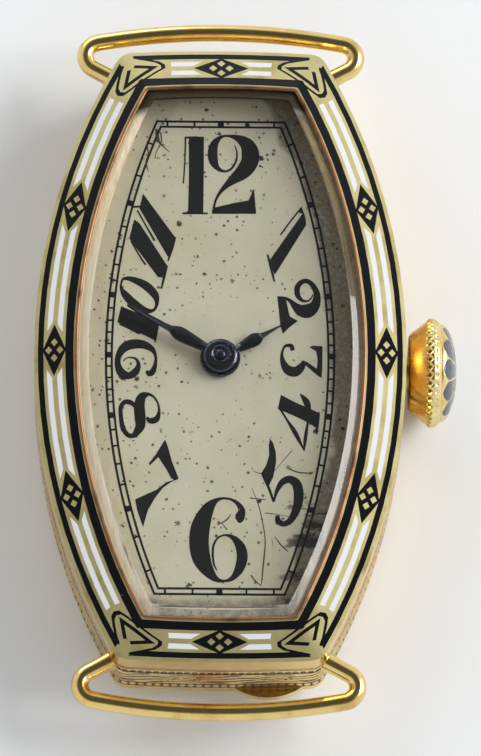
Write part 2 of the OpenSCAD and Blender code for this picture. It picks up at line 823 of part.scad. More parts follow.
module bridge_pad(side) {
  intersection() {
    slab(bridge_inset, z_bridge0, z_plate0);
    translate([0, 0, z_bridge0]) linear_extrude(z_plate0 - z_bridge0) split_2d(side);
  }
}

module barrel_bridge() {
  color("gold") difference() {
    bridge_pad(1);
    disc(barrel_p, barrel_well_r, z_bridge1, z_plate0 + over);
    disc([0, 0], center_well_r, z_bridge1, z_plate0 + over);
    train_wells(z_bridge1, z_plate0 + 1);
    disc(barrel_p, ratchet_well_r, z_bridge0 - over, z_ratchet1 + 0.03);
    disc(crown_wheel_p, crown_well_r, z_bridge0 - over, z_ratchet1 + 0.03);
    disc(barrel_p, barrel_pivot_r + run_fit, z_bridge0, z_plate0);
    disc([0, 0], 0.2 + run_fit, z_bridge0 - over, z_plate0);
    translate([pocket_x, -pocket_half, z_bridge1])
      cube([winding_pinion_x + winding_pinion_l + 1.5 - pocket_x, 2 * pocket_half, 1]);
    translate([winding_pinion_x - 0.08, -pocket_half, z_bridge0 - 1])
      cube([winding_pinion_l + 0.16, 2 * pocket_half, 2]);
    disc(crown_wheel_p, shank_r, z_ratchet1 - over, z_plate0 + over);
    disc(click_p, click_post_r + run_fit, z_bridge0 - over, z_bridge1 + over);
    for (p = barrel_screws) disc(p, shank_r + run_fit, z_bridge0 - over, z_plate0 + over);
    click_pocket();
  }
}

module train_bridge() {
  color("gold") difference() {
    bridge_pad(-1);
    disc([0, 0], center_well_r, z_bridge1, z_plate0 + over);
    train_wells(z_bridge1, z_plate0 + 1);
    disc(balance_p, balance_r + 0.5, z_bridge0 - over, z_plate0 + over);
    disc(cock_foot, 1.35, z_bridge0 - over, z_plate0 + over);
    disc(pallet_foot, 0.9, z_bridge0 - over, z_plate0 + over);
    disc(crown_wheel_p, crown_well_r, z_bridge0 - over, z_ratchet1 + 0.03);
    for (p = [third_p, fourth_p, escape_p]) {
      disc(p, jewel_r, z_bridge1 - jewel_t, z_bridge1 + eps);
      disc(p, pivot_r * 2, z_bridge0 - over, z_bridge1);
    }
    for (p = train_screws) disc(p, shank_r + run_fit, z_bridge0 - over, z_plate0 + over);
  }
}

pallet_cock_t = 0.18;
pallet_jewel_r = 0.25;
module pallet_cock() {
  color("gold") difference() {
    union() {
      disc(pallet_p, 0.55, z_plate0 - pallet_cock_t, z_plate0);
      disc(pallet_foot, 0.65, z_plate0 - pallet_cock_t, z_plate0);
      at(pallet_p, z_plate0 - pallet_cock_t) rotate([0, 0, pallet_a2]) translate([0, -0.45, 0])
        cube([2.25, 0.9, pallet_cock_t]);
    }
    disc(pallet_p, pallet_jewel_r, z_bridge0, z_plate0 + over);
    disc(pallet_foot, shank_r + run_fit, z_bridge0, z_plate0 + over);
  }
}

// The balance cock stands on a foot beside the rim and reaches over the staff
cock_t = 0.35;
z_cock = z_bridge0 - 0.35;
stud_p = balance_p + 1.55 * (cock_foot - balance_p) / norm(cock_foot - balance_p);
stud_r = 0.12;
cock_boss_r = 0.48;
cock_boss_h = 0.13;
module balance_cock() {
  reach = norm(cock_foot - balance_p);
  color("gold") difference() {
    union() {
      disc(cock_foot, 1.15, z_cock, z_plate0);
      disc(balance_p, 1, z_cock, z_cock + cock_t);
      disc(balance_p, cock_boss_r, z_cock - cock_boss_h, z_cock + cock_t);
      at(cock_foot, z_cock) rotate([0, 0, atan2(balance_p[1] - cock_foot[1], balance_p[0] - cock_foot[0])])
        translate([0, -0.7, 0]) cube([reach, 1.4, cock_t]);
    }
    disc(balance_p, 0.3, z_cock - over, z_cock + cock_t + over);
    disc(cock_foot, shank_r + run_fit, z_cock - over, z_plate0 + over);
    disc(stud_p, stud_r, z_cock + 0.1, z_cock + cock_t + over);
  }
}

module jewel(p, r, z0, z1) {
  difference() {
    disc(p, r, z0, z1);
    disc(p, pivot_r + 0.015, z0 - 1, z1 + 1);
  }
}

module plate_jewels() {
  color("crimson") for (p = jewel_holes) jewel(p, jewel_r, z_well, z_well + jewel_t);
}

module bridge_jewels() {
  color("crimson") {
    for (p = [third_p, fourth_p, escape_p]) jewel(p, jewel_r, z_bridge1 - jewel_t, z_bridge1);
    jewel(pallet_p, pallet_jewel_r, z_plate0 - pallet_cock_t, z_plate0);
    jewel(balance_p, 0.3, z_cock, z_cock + cock_t);
  }
}

module bridge_screws() {
  color("steelblue") {
    for (p = concat(barrel_screws, train_screws)) screw(p, z_bridge0, 1.6, head_r);
    screw(cock_foot, z_cock, 2, head_r);
    screw(pallet_foot, z_plate0 - pallet_cock_t, 0.9, head_r - 0.05);
  }
}

// The barrel: a toothed flange that carries an open drum, its cover, arbor and spring
drum_wall = 0.25;
drum_r = barrel_m * (barrel_teeth / 2 - 2);
barrel_arbor_r = 0.6;
barrel_pivot_r = 0.38;
cover_t = 0.15;
z_barrel1 = z_drum - 0.05;
module barrel() {
  color("gold") difference() {
    union() {
      gear(barrel_p, barrel_teeth, barrel_m, barrel_phase, z_barrel, barrel_flange_t);
      disc(barrel_p, drum_r, z_barrel, z_barrel1);
    }
    disc(barrel_p, drum_r - drum_wall, z_barrel + barrel_flange_t, z_barrel1 + over);
    disc(barrel_p, barrel_pivot_r + run_fit, z_barrel - over, z_barrel1);
  }
}

module barrel_cover() {
  color("gold") difference() {
    disc(barrel_p, drum_r - drum_wall, z_barrel1 - cover_t, z_barrel1);
    disc(barrel_p, barrel_pivot_r + run_fit, z_barrel, z_barrel1 + over);
  }
}

square_seat = 0.25;
module barrel_arbor() {
  color("silver") difference() {
    union() {
      disc(barrel_p, barrel_arbor_r, z_barrel + barrel_flange_t + 0.03, z_barrel1 - cover_t - 0.03);
      disc(barrel_p, barrel_pivot_r, z_ratchet1, z_plate1 - 0.32);
      disc(barrel_p, square_seat, z_ratchet, z_ratchet1 + eps);
    }
    disc(barrel_p, 0.14, z_ratchet - over, z_ratchet1 + 0.4);
  }
}

// A flat spiral strip from radius r0 to r1
function spiral(r0, r1, turns, w, steps, a1) =
  let (n = turns * steps, edge = function (s) [for (k = [0:n])
    let (a = a1 - 360 * turns * (1 - k / n), r = r0 + (r1 - r0) * k / n + s * w / 2) r * [cos(a), sin(a)]])
  let (outer = edge(1), inner = edge(-1)) concat(outer, [for (k = [n:-1:0]) inner[k]]);

module mainspring() {
  color("gray") at(barrel_p, z_barrel + barrel_flange_t + 0.05)
    linear_extrude(z_barrel1 - cover_t - z_barrel - barrel_flange_t - 0.1)
      polygon(spiral(barrel_arbor_r + 0.12, drum_r - drum_wall - 0.12, 5, 0.1, 20, 0));
}

module ratchet_wheel() {
  color("silver") difference() {
    gear(barrel_p, ratchet_teeth, winding_m, ratchet_phase, z_ratchet, ratchet_t);
    disc(barrel_p, square_seat, z_ratchet - over, z_ratchet1 + over);
  }
}

module ratchet_screw() {
  color("steelblue") {
    disc(barrel_p, 0.6, z_ratchet - 0.2, z_ratchet);
    disc(barrel_p, 0.13, z_ratchet - 0.1, z_ratchet1 + 0.35);
  }
}

// The click turns on a post beside the ratchet wheel, and its nose lies between two teeth
click_a = 160;
click_post_r = 0.2;
click_d = winding_m * ratchet_teeth / 2 + 0.95;
click_p = barrel_p + click_d * [cos(click_a), sin(click_a)];
click_nose_a = click_a - 10;
click_room = 1.25;
module click_pocket() {
  disc(click_p, click_room, z_bridge0 - over, z_ratchet1 + 0.03);
  disc(click_p + [0.35, 0.95], 0.75, z_bridge0 - over, z_ratchet1 + 0.03);
}

module click() {
  tip = barrel_p + (tip_r(ratchet_teeth, winding_m) + 0.05) * [cos(click_nose_a), sin(click_nose_a)];
  color("silver") {
    disc(click_p, 0.45, z_ratchet, z_ratchet1);
    disc(click_p, click_post_r, z_ratchet, z_bridge1 - 0.05);
    at(click_p, z_ratchet) linear_extrude(ratchet_t)
      polygon([[0.3, -0.3], tip - click_p, [-0.1, 0.4]]);
  }
}

module click_spring() {
  color("steelblue") {
    disc(click_p + [0.15, 1.3], 0.28, z_ratchet + 0.03, z_ratchet1 + 0.03);
    at(click_p + [0.05, 0.62], z_ratchet + 0.03) cube([0.1, 0.5, 0.2]);
  }
}

center_r = 0.3;
module center_wheel() {
  color("gold") {
    wheel([0, 0], center_teeth, center_m, center_phase, z_center, wheel_t, 0.75);
    gear([0, 0], center_pinion_teeth, barrel_m, center_phase, z_barrel - 0.03, barrel_flange_t + 0.06);
    disc([0, 0], center_r, z_bridge1 + end_shake, z_motion);
    disc([0, 0], 0.2, z_bridge0 + 0.1, z_center);
    disc([0, 0], center_post_r, z_motion - eps, z_minute_hand + hand_t + 0.3);
  }
}

module third_wheel() {
  color("gold") {
    wheel(third_p, third_teeth, third_m, third_phase, z_third, wheel_t, 0.6);
    gear(third_p, pinion_teeth, center_m, third_phase, z_center - 0.01, wheel_t + 0.06);
    arbor(third_p, arbor_r, z_bridge1, z_well);
  }
}

module fourth_wheel() {
  color("gold") {
    wheel(fourth_p, fourth_teeth, fourth_m, fourth_phase, z_fourth, wheel_t, 0.6);
    gear(fourth_p, pinion_teeth, third_m, fourth_phase, z_third - 0.02, wheel_t + 0.04);
    arbor(fourth_p, arbor_r, z_bridge1, z_well);
  }
}

// Escape teeth lean forward, with a straight locking face
function escape_points() = [for (k = [0:escape_teeth - 1])
  for (t = [[0, 1], [1.2, 0.985], [5, 0.78], [20, 0.76]])
    let (a = pallet_a + 12 + k * 360 / escape_teeth + t[0]) escape_r * t[1] * [cos(a), sin(a)]];
module escape_wheel() {
  color("silver") {
    difference() {
      at(escape_p, z_escape) linear_extrude(wheel_t) polygon(escape_points());
      for (k = [0:4]) at(escape_p, z_escape - eps) rotate([0, 0, 72 * k])
        translate([0.85, 0, 0]) cylinder(r = 0.38, h = wheel_t + 1);
    }
    gear(escape_p, escape_pinion_teeth, fourth_m, escape_phase, z_fourth - 0.01, wheel_t + 0.02);
    arbor(escape_p, arbor_r, z_bridge1, z_well);
  }
}

// The fork, drawn with its pivot at the origin and the balance towards +X
anchor_in = escape_r + 0.2;
anchor_w = 0.24;
module fork_frame(z) {
  at(pallet_p, z) rotate([0, 0, pallet_a]) children();
}

pin_d = 0.8;
pin_r = 0.08;
module pallet_fork() {
  color("silver") {
    fork_frame(z_escape) {
      translate([-pallet_d, 0, 0]) rotate([0, 0, -34])
        rotate_extrude(angle = 68) translate([anchor_in, 0]) square([anchor_w, wheel_t]);
      cylinder(r = 0.3, h = wheel_t);
      translate([0, -0.1, 0]) cube([fork_l - pin_d - 0.2, 0.2, wheel_t]);
      for (s = [0, 1]) mirror([0, s, 0]) translate([fork_l - pin_d - 0.3, pin_r + 0.04, 0])
        cube([0.42, 0.16, wheel_t]);
      translate([fork_l - pin_d - 0.3, -0.2, 0]) cube([0.12, 0.4, wheel_t]);
    }
    disc(pallet_p, 0.12, z_plate0 + end_shake, z_well - end_shake);
    disc(pallet_p, pivot_r, z_plate0 - 0.15, z_well + pivot_l);
  }
}

module pallet_stones() {
  color("crimson") fork_frame(z_escape) translate([-pallet_d, 0, 0])
    for (s = [-1, 1]) rotate([0, 0, s * 30])
      translate([escape_r + 0.03, -0.1, 0]) cube([anchor_in - escape_r - 0.03, 0.2, wheel_t]);
}

rim_w2 = 0.3;
z_rim = z_bridge1 - 0.4;
rim_t = 0.25;
module balance_wheel() {
  color("gold") {
    difference() {
      disc(balance_p, balance_r, z_rim, z_rim + rim_t);
      disc(balance_p, balance_r - rim_w2, z_rim - over, z_rim + over);
    }
    at(balance_p, z_rim + 0.06) rotate([0, 0, 45]) translate([-balance_r + 0.1, -0.2, 0])
      cube([2 * balance_r - 0.2, 0.4, 0.12]);
    disc(balance_p, 0.4, z_rim + 0.03, z_rim + 0.22);
    disc(balance_p, arbor_r, z_cock + cock_t + 0.02, z_well - end_shake);
    disc(balance_p, pivot_r, z_cock + 0.05, z_well + pivot_l);
  }
}

module balance_screws() {
  color("gold") for (k = [0:11]) at(balance_p, z_rim + rim_t / 2) rotate([0, 0, 15 + 30 * k])
    translate([balance_r, 0, 0]) rotate([0, 90, 0]) cylinder(r = 0.11, h = 0.16);
}

z_roller = z_plate0 + 0.12;
module roller() {
  color("crimson") {
    difference() {
      disc(balance_p, pin_d + 0.15, z_roller, z_roller + 0.1);
      disc(balance_p, arbor_r, z_roller - over, z_roller + over);
    }
    fork_frame(0) translate([fork_l - pin_d, 0, z_roller]) cylinder(r = pin_r, h = z_escape + wheel_t - z_roller);
  }
}

z_hairspring = z_cock + cock_t + 0.08;
hairspring_t = 0.12;
collet_r = 0.32;
module hairspring() {
  stud_a = atan2(stud_p[1] - balance_p[1], stud_p[0] - balance_p[0]);
  color("steelblue") at(balance_p, z_hairspring) {
    difference() {
      cylinder(r = collet_r, h = hairspring_t);
      translate([0, 0, -1]) cylinder(r = arbor_r, h = 3);
    }
    linear_extrude(hairspring_t)
      polygon(spiral(collet_r, norm(stud_p - balance_p) - stud_r - 0.03, 4, 0.05, 20, stud_a));
  }
}

module hairspring_stud() {
  color("silver") disc(stud_p, stud_r, z_cock + 0.1, z_hairspring + hairspring_t);
}

regulator_t = 0.1;
module regulator() {
  color("silver") {
    difference() {
      disc(balance_p, 0.8, z_cock - cock_boss_h, z_cock - 0.03);
      disc(balance_p, cock_boss_r + run_fit, z_cock - over, z_cock + over);
    }
    at(balance_p, z_cock - cock_boss_h) rotate([0, 0, pallet_a + 160]) translate([0.7, -0.12, 0])
      cube([1.6, 0.24, regulator_t]);
  }
}

// The crown, turned about the stem with its foot at the origin and its cap towards +Z
module along_stem(x) {
  translate([x, 0, stem_z]) rotate([0, 90, 0]) children();
}

cap_r = crown_r - 0.45;
module crown() {
  l0 = crown_base_l;
  l1 = l0 + crown_ring_l;
  color("goldenrod") along_stem(crown_x) difference() {
    rotate_extrude() polygon([[0, 0], [crown_r - 0.55, 0], [crown_r - 0.3, l0 * 0.4], [crown_r - 0.12, l0],
      [crown_r, l0 + 0.12], [crown_r - 0.1, l0 + crown_ring_l * 0.6], [cap_r, l1], [0, l1]]);
    for (k = [0:crown_flutes - 1]) rotate([0, 0, 360 * k / crown_flutes])
      translate([crown_r + 0.02, 0, l0]) cylinder(r = 0.16, h = crown_ring_l + 1, $fn = 16);
    translate([0, 0, -eps]) cylinder(r = tube_r + 0.1, h = tube_x - crown_x + 0.12);
    translate([0, 0, -eps]) cylinder(r = stem_r, h = crown_base_l + 0.4);
    translate([0, 0, l1 - 0.05]) cylinder(r = cap_r - 0.25, h = 1);
  }
}

module crown_enamel() {
  seat = cap_r - 0.25;
  dome_r = (seat * seat + crown_cap_l * crown_cap_l) / (2 * crown_cap_l);
  color("slategray") along_stem(crown_x + crown_base_l + crown_ring_l) {
    intersection() {
      translate([0, 0, crown_cap_l - dome_r]) sphere(r = dome_r);
      cylinder(r = seat + 1, h = 2);
    }
    translate([0, 0, -0.05]) cylinder(r = seat, h = 0.05 + eps);
  }
}

module winding_stem() {
  x_end = crown_x + crown_base_l + 0.35;
  x_round = winding_pinion_x;
  color("silver") {
    difference() {
      along_stem(x_round) cylinder(r = stem_r, h = x_end - x_round);
      along_stem(groove_x) difference() {
        cylinder(r = 1, h = groove_w);
        translate([0, 0, -1]) cylinder(r = groove_r, h = 3);
      }
    }
    along_stem(pocket_x) rotate([0, 0, 45])
      cylinder(r = square_half * sqrt(2), h = x_round - pocket_x + eps, $fn = 4);
    along_stem(pocket_x - pilot_l + 0.05) cylinder(r = pilot_r, h = pilot_l);
  }
}

module winding_pinion() {
  color("silver") along_stem(winding_pinion_x) difference() {
    linear_extrude(winding_pinion_l)
      polygon(tooth_points(winding_pinion_teeth, winding_pinion_m, 0));
    translate([0, 0, -1]) cylinder(r = stem_r + run_fit, h = 4);
  }
}

module sliding_pinion() {
  color("silver") along_stem(sliding_pinion_x) difference() {
    union() {
      cylinder(r = sliding_pinion_r, h = 0.45);
      cylinder(r = sliding_pinion_r - 0.25, h = sliding_pinion_l);
      translate([0, 0, 0.85]) cylinder(r = sliding_pinion_r, h = sliding_pinion_l - 0.85);
    }
    translate([0, 0, -1]) rotate([0, 0, 45]) cylinder(r = (square_half + run_fit) * sqrt(2), h = 4, $fn = 4);
  }
}

module crown_wheel() {
  color("silver") difference() {
    gear(crown_wheel_p, crown_wheel_teeth, winding_m, crown_wheel_phase, z_ratchet, ratchet_t);
    disc(crown_wheel_p, crown_post_r + run_fit, z_ratchet - over, z_ratchet1 + over);
  }
}

crown_post_r = 0.7;
module crown_wheel_screw() {
  color("steelblue") {
    disc(crown_wheel_p, 1.05, z_ratchet - 0.15, z_ratchet - 0.02);
    disc(crown_wheel_p, crown_post_r, z_ratchet - 0.1, z_ratchet1 + 0.03);
    disc(crown_wheel_p, shank_r, z_ratchet1, z_bridge1);
  }
}

module lever_bar(p, tip, w) {
  d = tip - p;
  at(p, z_keyless + 0.03) rotate([0, 0, atan2(d[1], d[0])]) translate([0, -w / 2, 0])
    cube([norm(d), w, keyless_t]);
}

module setting_lever() {
  tip = [groove_x + groove_w / 2, 0.12];
  color("silver") difference() {
    union() {
      disc(lever_p, 0.5, z_keyless + 0.03, z_keyless + 0.03 + keyless_t);
      lever_bar(lever_p, tip, 0.4);
      disc(tip, groove_w / 2 - 0.05, stem_z + groove_r + 0.05, z_keyless + 0.03 + keyless_t);
    }
    disc(lever_p, keyless_post_r + run_fit, z_keyless - over, z_plate1);
  }
}

yoke_tip = [sliding_pinion_x + 0.65, -0.45];
module yoke() {
  color("silver") difference() {
    union() {
      disc(yoke_p, 0.5, z_keyless + 0.03, z_keyless + 0.03 + keyless_t);
      lever_bar(yoke_p, yoke_tip, 0.42);
      disc(yoke_tip, 0.14, stem_z + sliding_pinion_r - 0.05, z_keyless + 0.03 + keyless_t);
    }
    disc(yoke_p, keyless_post_r + run_fit, z_keyless - over, z_plate1);
  }
}

module yoke_spring() {
  color("steelblue") {
    disc([5, -4.1], 0.3, z_keyless, z_keyless + 0.2);
    at([4.9, -4.1], z_keyless + 0.02) rotate([0, 0, 82]) cube([1.1, 0.08, 0.15]);
  }
}

bridge_cover_t = 0.11;
module setting_bridge() {
  z = z_plate1 - bridge_cover_t;
  color("silver") difference() {
    translate([5.55, -3.9, z]) cube([1.3, 1.2, bridge_cover_t]);
    disc(yoke_p, keyless_post_r - 0.1, z - 1, z + 1);
  }
}

case_band();
bezel();
black_enamel();
white_enamel();
crystal();
case_back();
lug_top();
lug_bottom();
stem_tube();
case_screws();
dial();
hour_hand();
minute_hand();
cannon_pinion();
minute_wheel();
hour_wheel();
main_plate();
barrel_bridge();
train_bridge();
pallet_cock();
balance_cock();
plate_jewels();
bridge_jewels();
bridge_screws();
barrel();
barrel_cover();
barrel_arbor();
mainspring();
ratchet_wheel();
ratchet_screw();
click();
click_spring();
center_wheel();
third_wheel();
fourth_wheel();
escape_wheel();
pallet_fork();
pallet_stones();
balance_wheel();
balance_screws();
roller();
hairspring();
hairspring_stud();
regulator();
crown();
crown_enamel();
winding_stem();
winding_pinion();
sliding_pinion();
crown_wheel();
crown_wheel_screw();
setting_wheel();
setting_lever();
yoke();
yoke_spring();
setting_bridge();
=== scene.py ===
"""Lady's barrel-shaped dress wristwatch, laid on white paper and lit by soft studio lamps."""

import json
import math

import bmesh
import bpy
from mathutils import Matrix, Vector


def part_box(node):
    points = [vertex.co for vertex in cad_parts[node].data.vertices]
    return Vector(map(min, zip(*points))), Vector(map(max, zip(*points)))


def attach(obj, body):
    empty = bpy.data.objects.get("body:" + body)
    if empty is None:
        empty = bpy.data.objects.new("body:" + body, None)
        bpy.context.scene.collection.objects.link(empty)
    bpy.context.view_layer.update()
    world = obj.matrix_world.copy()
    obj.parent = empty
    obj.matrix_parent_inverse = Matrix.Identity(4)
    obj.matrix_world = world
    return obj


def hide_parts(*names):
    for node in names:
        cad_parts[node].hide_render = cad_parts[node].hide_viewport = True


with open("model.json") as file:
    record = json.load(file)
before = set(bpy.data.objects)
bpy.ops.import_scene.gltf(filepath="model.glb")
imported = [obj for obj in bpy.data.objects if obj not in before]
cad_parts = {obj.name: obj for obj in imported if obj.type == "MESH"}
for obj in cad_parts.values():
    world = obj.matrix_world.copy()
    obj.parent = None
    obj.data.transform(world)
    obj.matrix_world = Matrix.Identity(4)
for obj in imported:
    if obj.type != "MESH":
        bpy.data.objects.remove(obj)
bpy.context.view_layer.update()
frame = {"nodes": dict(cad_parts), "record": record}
nodes = frame["nodes"]

MM = 0.001

# Sizes that the part's source also has
CASE_W = 18.0 * MM
CASE_L = 31.3 * MM
FLANK_R = 31.6 * MM
CORNER_R = 0.95 * MM
END_BOW = 0.12 * MM
BEZEL_W = 2.1 * MM
BEZEL_SIDE_H = 1.15 * MM
BEZEL_RISE = 0.4 * MM
BAND_INSET = 0.05 * MM
WIRE_R = 0.42 * MM
MINUTE_LEN, MINUTE_ANGLE = 5.2 * MM, 150.4
HOUR_LEN, HOUR_ANGLE = 3.7 * MM, 30.2
MINUTE_BOSS_R = 0.84 * MM
HOUR_BOSS_R = 0.97 * MM

# Levels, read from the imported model
BAND_Z0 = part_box("case_back")[1].z
BAND_Z1 = BAND_Z0 + 2.8 * MM
FACE_Z = BAND_Z1 + BEZEL_SIDE_H
DIAL_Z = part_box("dial")[1].z
STEM_Z = (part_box("crown")[0].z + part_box("crown")[1].z) / 2

# The photograph's view
PHOTO_W, PHOTO_H = 481, 756
AZIMUTH = 2.7
ELEVATION = 69.5
ROLL = 3.0
DISTANCE = 0.4
WIDTH_SEEN = 23.19 * MM
AIM = Vector((0.966 * MM, -1.385 * MM, 5.6 * MM))


def view_frame():
    """The camera's place and its right, up and backward directions."""
    azimuth, elevation, roll = (math.radians(a) for a in (AZIMUTH, ELEVATION, ROLL))
    away = Vector((
        -math.sin(azimuth) * math.cos(elevation),
        -math.cos(azimuth) * math.cos(elevation),
        math.sin(elevation),
    ))
    level = Vector((0, 0, 1)).cross(away).normalized()
    rise = away.cross(level)
    right = level * math.cos(roll) + rise * math.sin(roll)
    return AIM + away * DISTANCE, right, away.cross(right), away


def seen_at(px, py, z):
    """The point at height z that the photograph shows at a pixel."""
    eye, right, up, away = view_frame()
    pixel = WIDTH_SEEN / PHOTO_W
    ray = right * (px - PHOTO_W / 2) * pixel + up * (PHOTO_H / 2 - py) * pixel - away * DISTANCE
    return eye + ray * ((z - eye.z) / ray.z)


# Materials


def material(name):
    """A node material, its tree and its Principled shader."""
    mat = bpy.data.materials.new(name)
    mat.use_nodes = True
    return mat, mat.node_tree, mat.node_tree.nodes["Principled BSDF"]


def plug(tree, socket, value):
    """Links an output to a socket, or sets the socket to a constant."""
    if isinstance(value, bpy.types.NodeSocket):
        tree.links.new(value, socket)
    else:
        socket.default_value = value


def shade(tree, shader, **values):
    for key, value in values.items():
        plug(tree, shader.inputs[key.replace("_", " ")], value)


def math_node(tree, operation, a, b=0.0, c=0.0, clamp=False):
    node = tree.nodes.new("ShaderNodeMath")
    node.operation = operation
    node.use_clamp = clamp
    for socket, value in zip(node.inputs, (a, b, c)):
        plug(tree, socket, value)
    return node.outputs[0]


def times(tree, a, b):
    return math_node(tree, "MULTIPLY", a, b)


def scaled(tree, value, factor, offset, clamp=False):
    return math_node(tree, "MULTIPLY_ADD", value, factor, offset, clamp)


def mix_colour(tree, factor, a, b):
    node = tree.nodes.new("ShaderNodeMix")
    node.data_type = "RGBA"
    plug(tree, node.inputs[0], factor)
    plug(tree, node.inputs[6], a)
    plug(tree, node.inputs[7], b)
    return node.outputs[2]


def rise_between(tree, value, low, high):
    """0 below low, 1 above high and smooth between; it falls where low is above high."""
    node = tree.nodes.new("ShaderNodeMapRange")
    node.interpolation_type = "SMOOTHSTEP"
    plug(tree, node.inputs["Value"], value)
    node.inputs["From Min"].default_value = low
    node.inputs["From Max"].default_value = high
    return node.outputs[0]


def object_place(tree):
    return tree.nodes.new("ShaderNodeTexCoord").outputs["Object"]


def axes(tree, vector):
    node = tree.nodes.new("ShaderNodeSeparateXYZ")
    plug(tree, node.inputs[0], vector)
    return node.outputs


def stretched(tree, scale, turn=0.0):
    """Object coordinates turned about Z and scaled apart along the axes."""
    node = tree.nodes.new("ShaderNodeMapping")
    plug(tree, node.inputs["Vector"], object_place(tree))
    node.inputs["Rotation"].default_value = (0, 0, math.radians(turn))
    node.inputs["Scale"].default_value = scale
    return node.outputs[0]


def noise(tree, scale, detail=4.0, roughness=0.55, vector=None):
    node = tree.nodes.new("ShaderNodeTexNoise")
    plug(tree, node.inputs["Vector"], vector or object_place(tree))
    node.inputs["Scale"].default_value = scale
    node.inputs["Detail"].default_value = detail
    node.inputs["Roughness"].default_value = roughness
    return node.outputs["Fac"]


def cells(tree, scale):
    """Distance to the nearest of many scattered points, and a random colour of that point."""
    node = tree.nodes.new("ShaderNodeTexVoronoi")
    plug(tree, node.inputs["Vector"], object_place(tree))
    node.inputs["Scale"].default_value = scale
    return node.outputs["Distance"], node.outputs["Color"]


def bump(tree, height, strength, distance, normal=None):
    node = tree.nodes.new("ShaderNodeBump")
    plug(tree, node.inputs["Height"], height)
    plug(tree, node.inputs["Strength"], strength)
    node.inputs["Distance"].default_value = distance
    if normal:
        plug(tree, node.inputs["Normal"], normal)
    return node.outputs[0]


def group(name, inputs, outputs):
    """An empty shader node group with the given inputs and outputs."""
    tree = bpy.data.node_groups.new(name, "ShaderNodeTree")
    for label, value in inputs.items():
        kind = "NodeSocketColor" if isinstance(value, tuple) else "NodeSocketFloat"
        socket = tree.interface.new_socket(label, in_out="INPUT", socket_type=kind)
        socket.default_value = value
    for label, kind in outputs.items():
        tree.interface.new_socket(label, in_out="OUTPUT", socket_type=kind)
    source = tree.nodes.new("NodeGroupInput")
    target = tree.nodes.new("NodeGroupOutput")
    return tree, source.outputs, target.inputs


def use(tree, group_tree, **values):
    node = tree.nodes.new("ShaderNodeGroup")
    node.node_tree = group_tree
    for key, value in values.items():
        plug(tree, node.inputs[key.replace("_", " ")], value)
    return node.outputs


def rgb(red, green, blue):
    """A colour given as the 0 to 255 values that it shows, made linear."""
    def linear(value):
        value /= 255
        return value / 12.92 if value <= 0.04045 else ((value + 0.055) / 1.055) ** 2.4
    return (linear(red), linear(green), linear(blue), 1.0)


def worn_metal_group():
    """Handled metal: a colour that drifts, roughness in patches, fine scratches and patches of dirt."""
    tree, given, out = group(
        "worn metal",
        {"Clean": (0.8, 0.6, 0.3, 1), "Dull": (0.5, 0.35, 0.2, 1), "Roughness": 0.2, "Scratches": 0.3},
        {"Color": "NodeSocketColor", "Roughness": "NodeSocketFloat", "Normal": "NodeSocketVector"},
    )
    mask = rise_between(tree, noise(tree, 420.0, 5.0, 0.6), 0.45, 0.75)
    plug(tree, out["Color"], mix_colour(tree, mask, given["Clean"], given["Dull"]))
    rough = scaled(tree, noise(tree, 2600.0, 3.0), 0.14, given["Roughness"])
    plug(tree, out["Roughness"], scaled(tree, mask, 0.12, rough, clamp=True))
    lines_a = noise(tree, 900.0, 2.0, 0.5, stretched(tree, (1, 14, 3), 24.0))
    lines_b = noise(tree, 800.0, 2.0, 0.5, stretched(tree, (16, 1.5, 2), 9.0))
    height = math_node(tree, "ADD", lines_a, lines_b)
    plug(tree, out["Normal"], bump(tree, height, given["Scratches"], 0.004 * MM))
    return tree


def flank_inset_group():
    """Distance of a point in from the nearer flank of the case, measured from the flank arc's centre."""
    tree, given, out = group("flank inset", {"X": 0.0, "Y": 0.0}, {"Inset": "NodeSocketFloat"})
    across = math_node(tree, "ABSOLUTE", given["X"])
    reach = math_node(tree, "ADD", across, FLANK_R - CASE_W / 2)
    square = scaled(tree, given["Y"], given["Y"], times(tree, reach, reach))
    plug(tree, out["Inset"], math_node(tree, "SUBTRACT", FLANK_R, math_node(tree, "SQRT", square)))
    return tree


WORN_METAL = worn_metal_group()
FLANK_INSET = flank_inset_group()


def metal(name, clean, dull, roughness, scratches=0.4):
    mat, tree, shader = material(name)
    worn = use(tree, WORN_METAL, Clean=clean, Dull=dull, Roughness=roughness, Scratches=scratches)
    shade(
        tree, shader, Metallic=1.0, Base_Color=worn["Color"], Roughness=worn["Roughness"],
        Normal=worn["Normal"],
    )
    return mat


def enamel(name, colour, pit_colour, gloss=0.14, pitted=0.66):
    """Fired enamel: glossy, a little wavy, with pits and rubbed spots."""
    mat, tree, shader = material(name)
    pits = rise_between(tree, noise(tree, 1800.0, 4.0, 0.6), pitted, pitted + 0.07)
    waves = noise(tree, 500.0, 2.0, 0.5)
    shade(
        tree, shader, Base_Color=mix_colour(tree, pits, colour, pit_colour),
        Roughness=scaled(tree, pits, 0.4, gloss),
        Normal=bump(tree, waves, 0.35, 0.02 * MM),
    )
    return mat


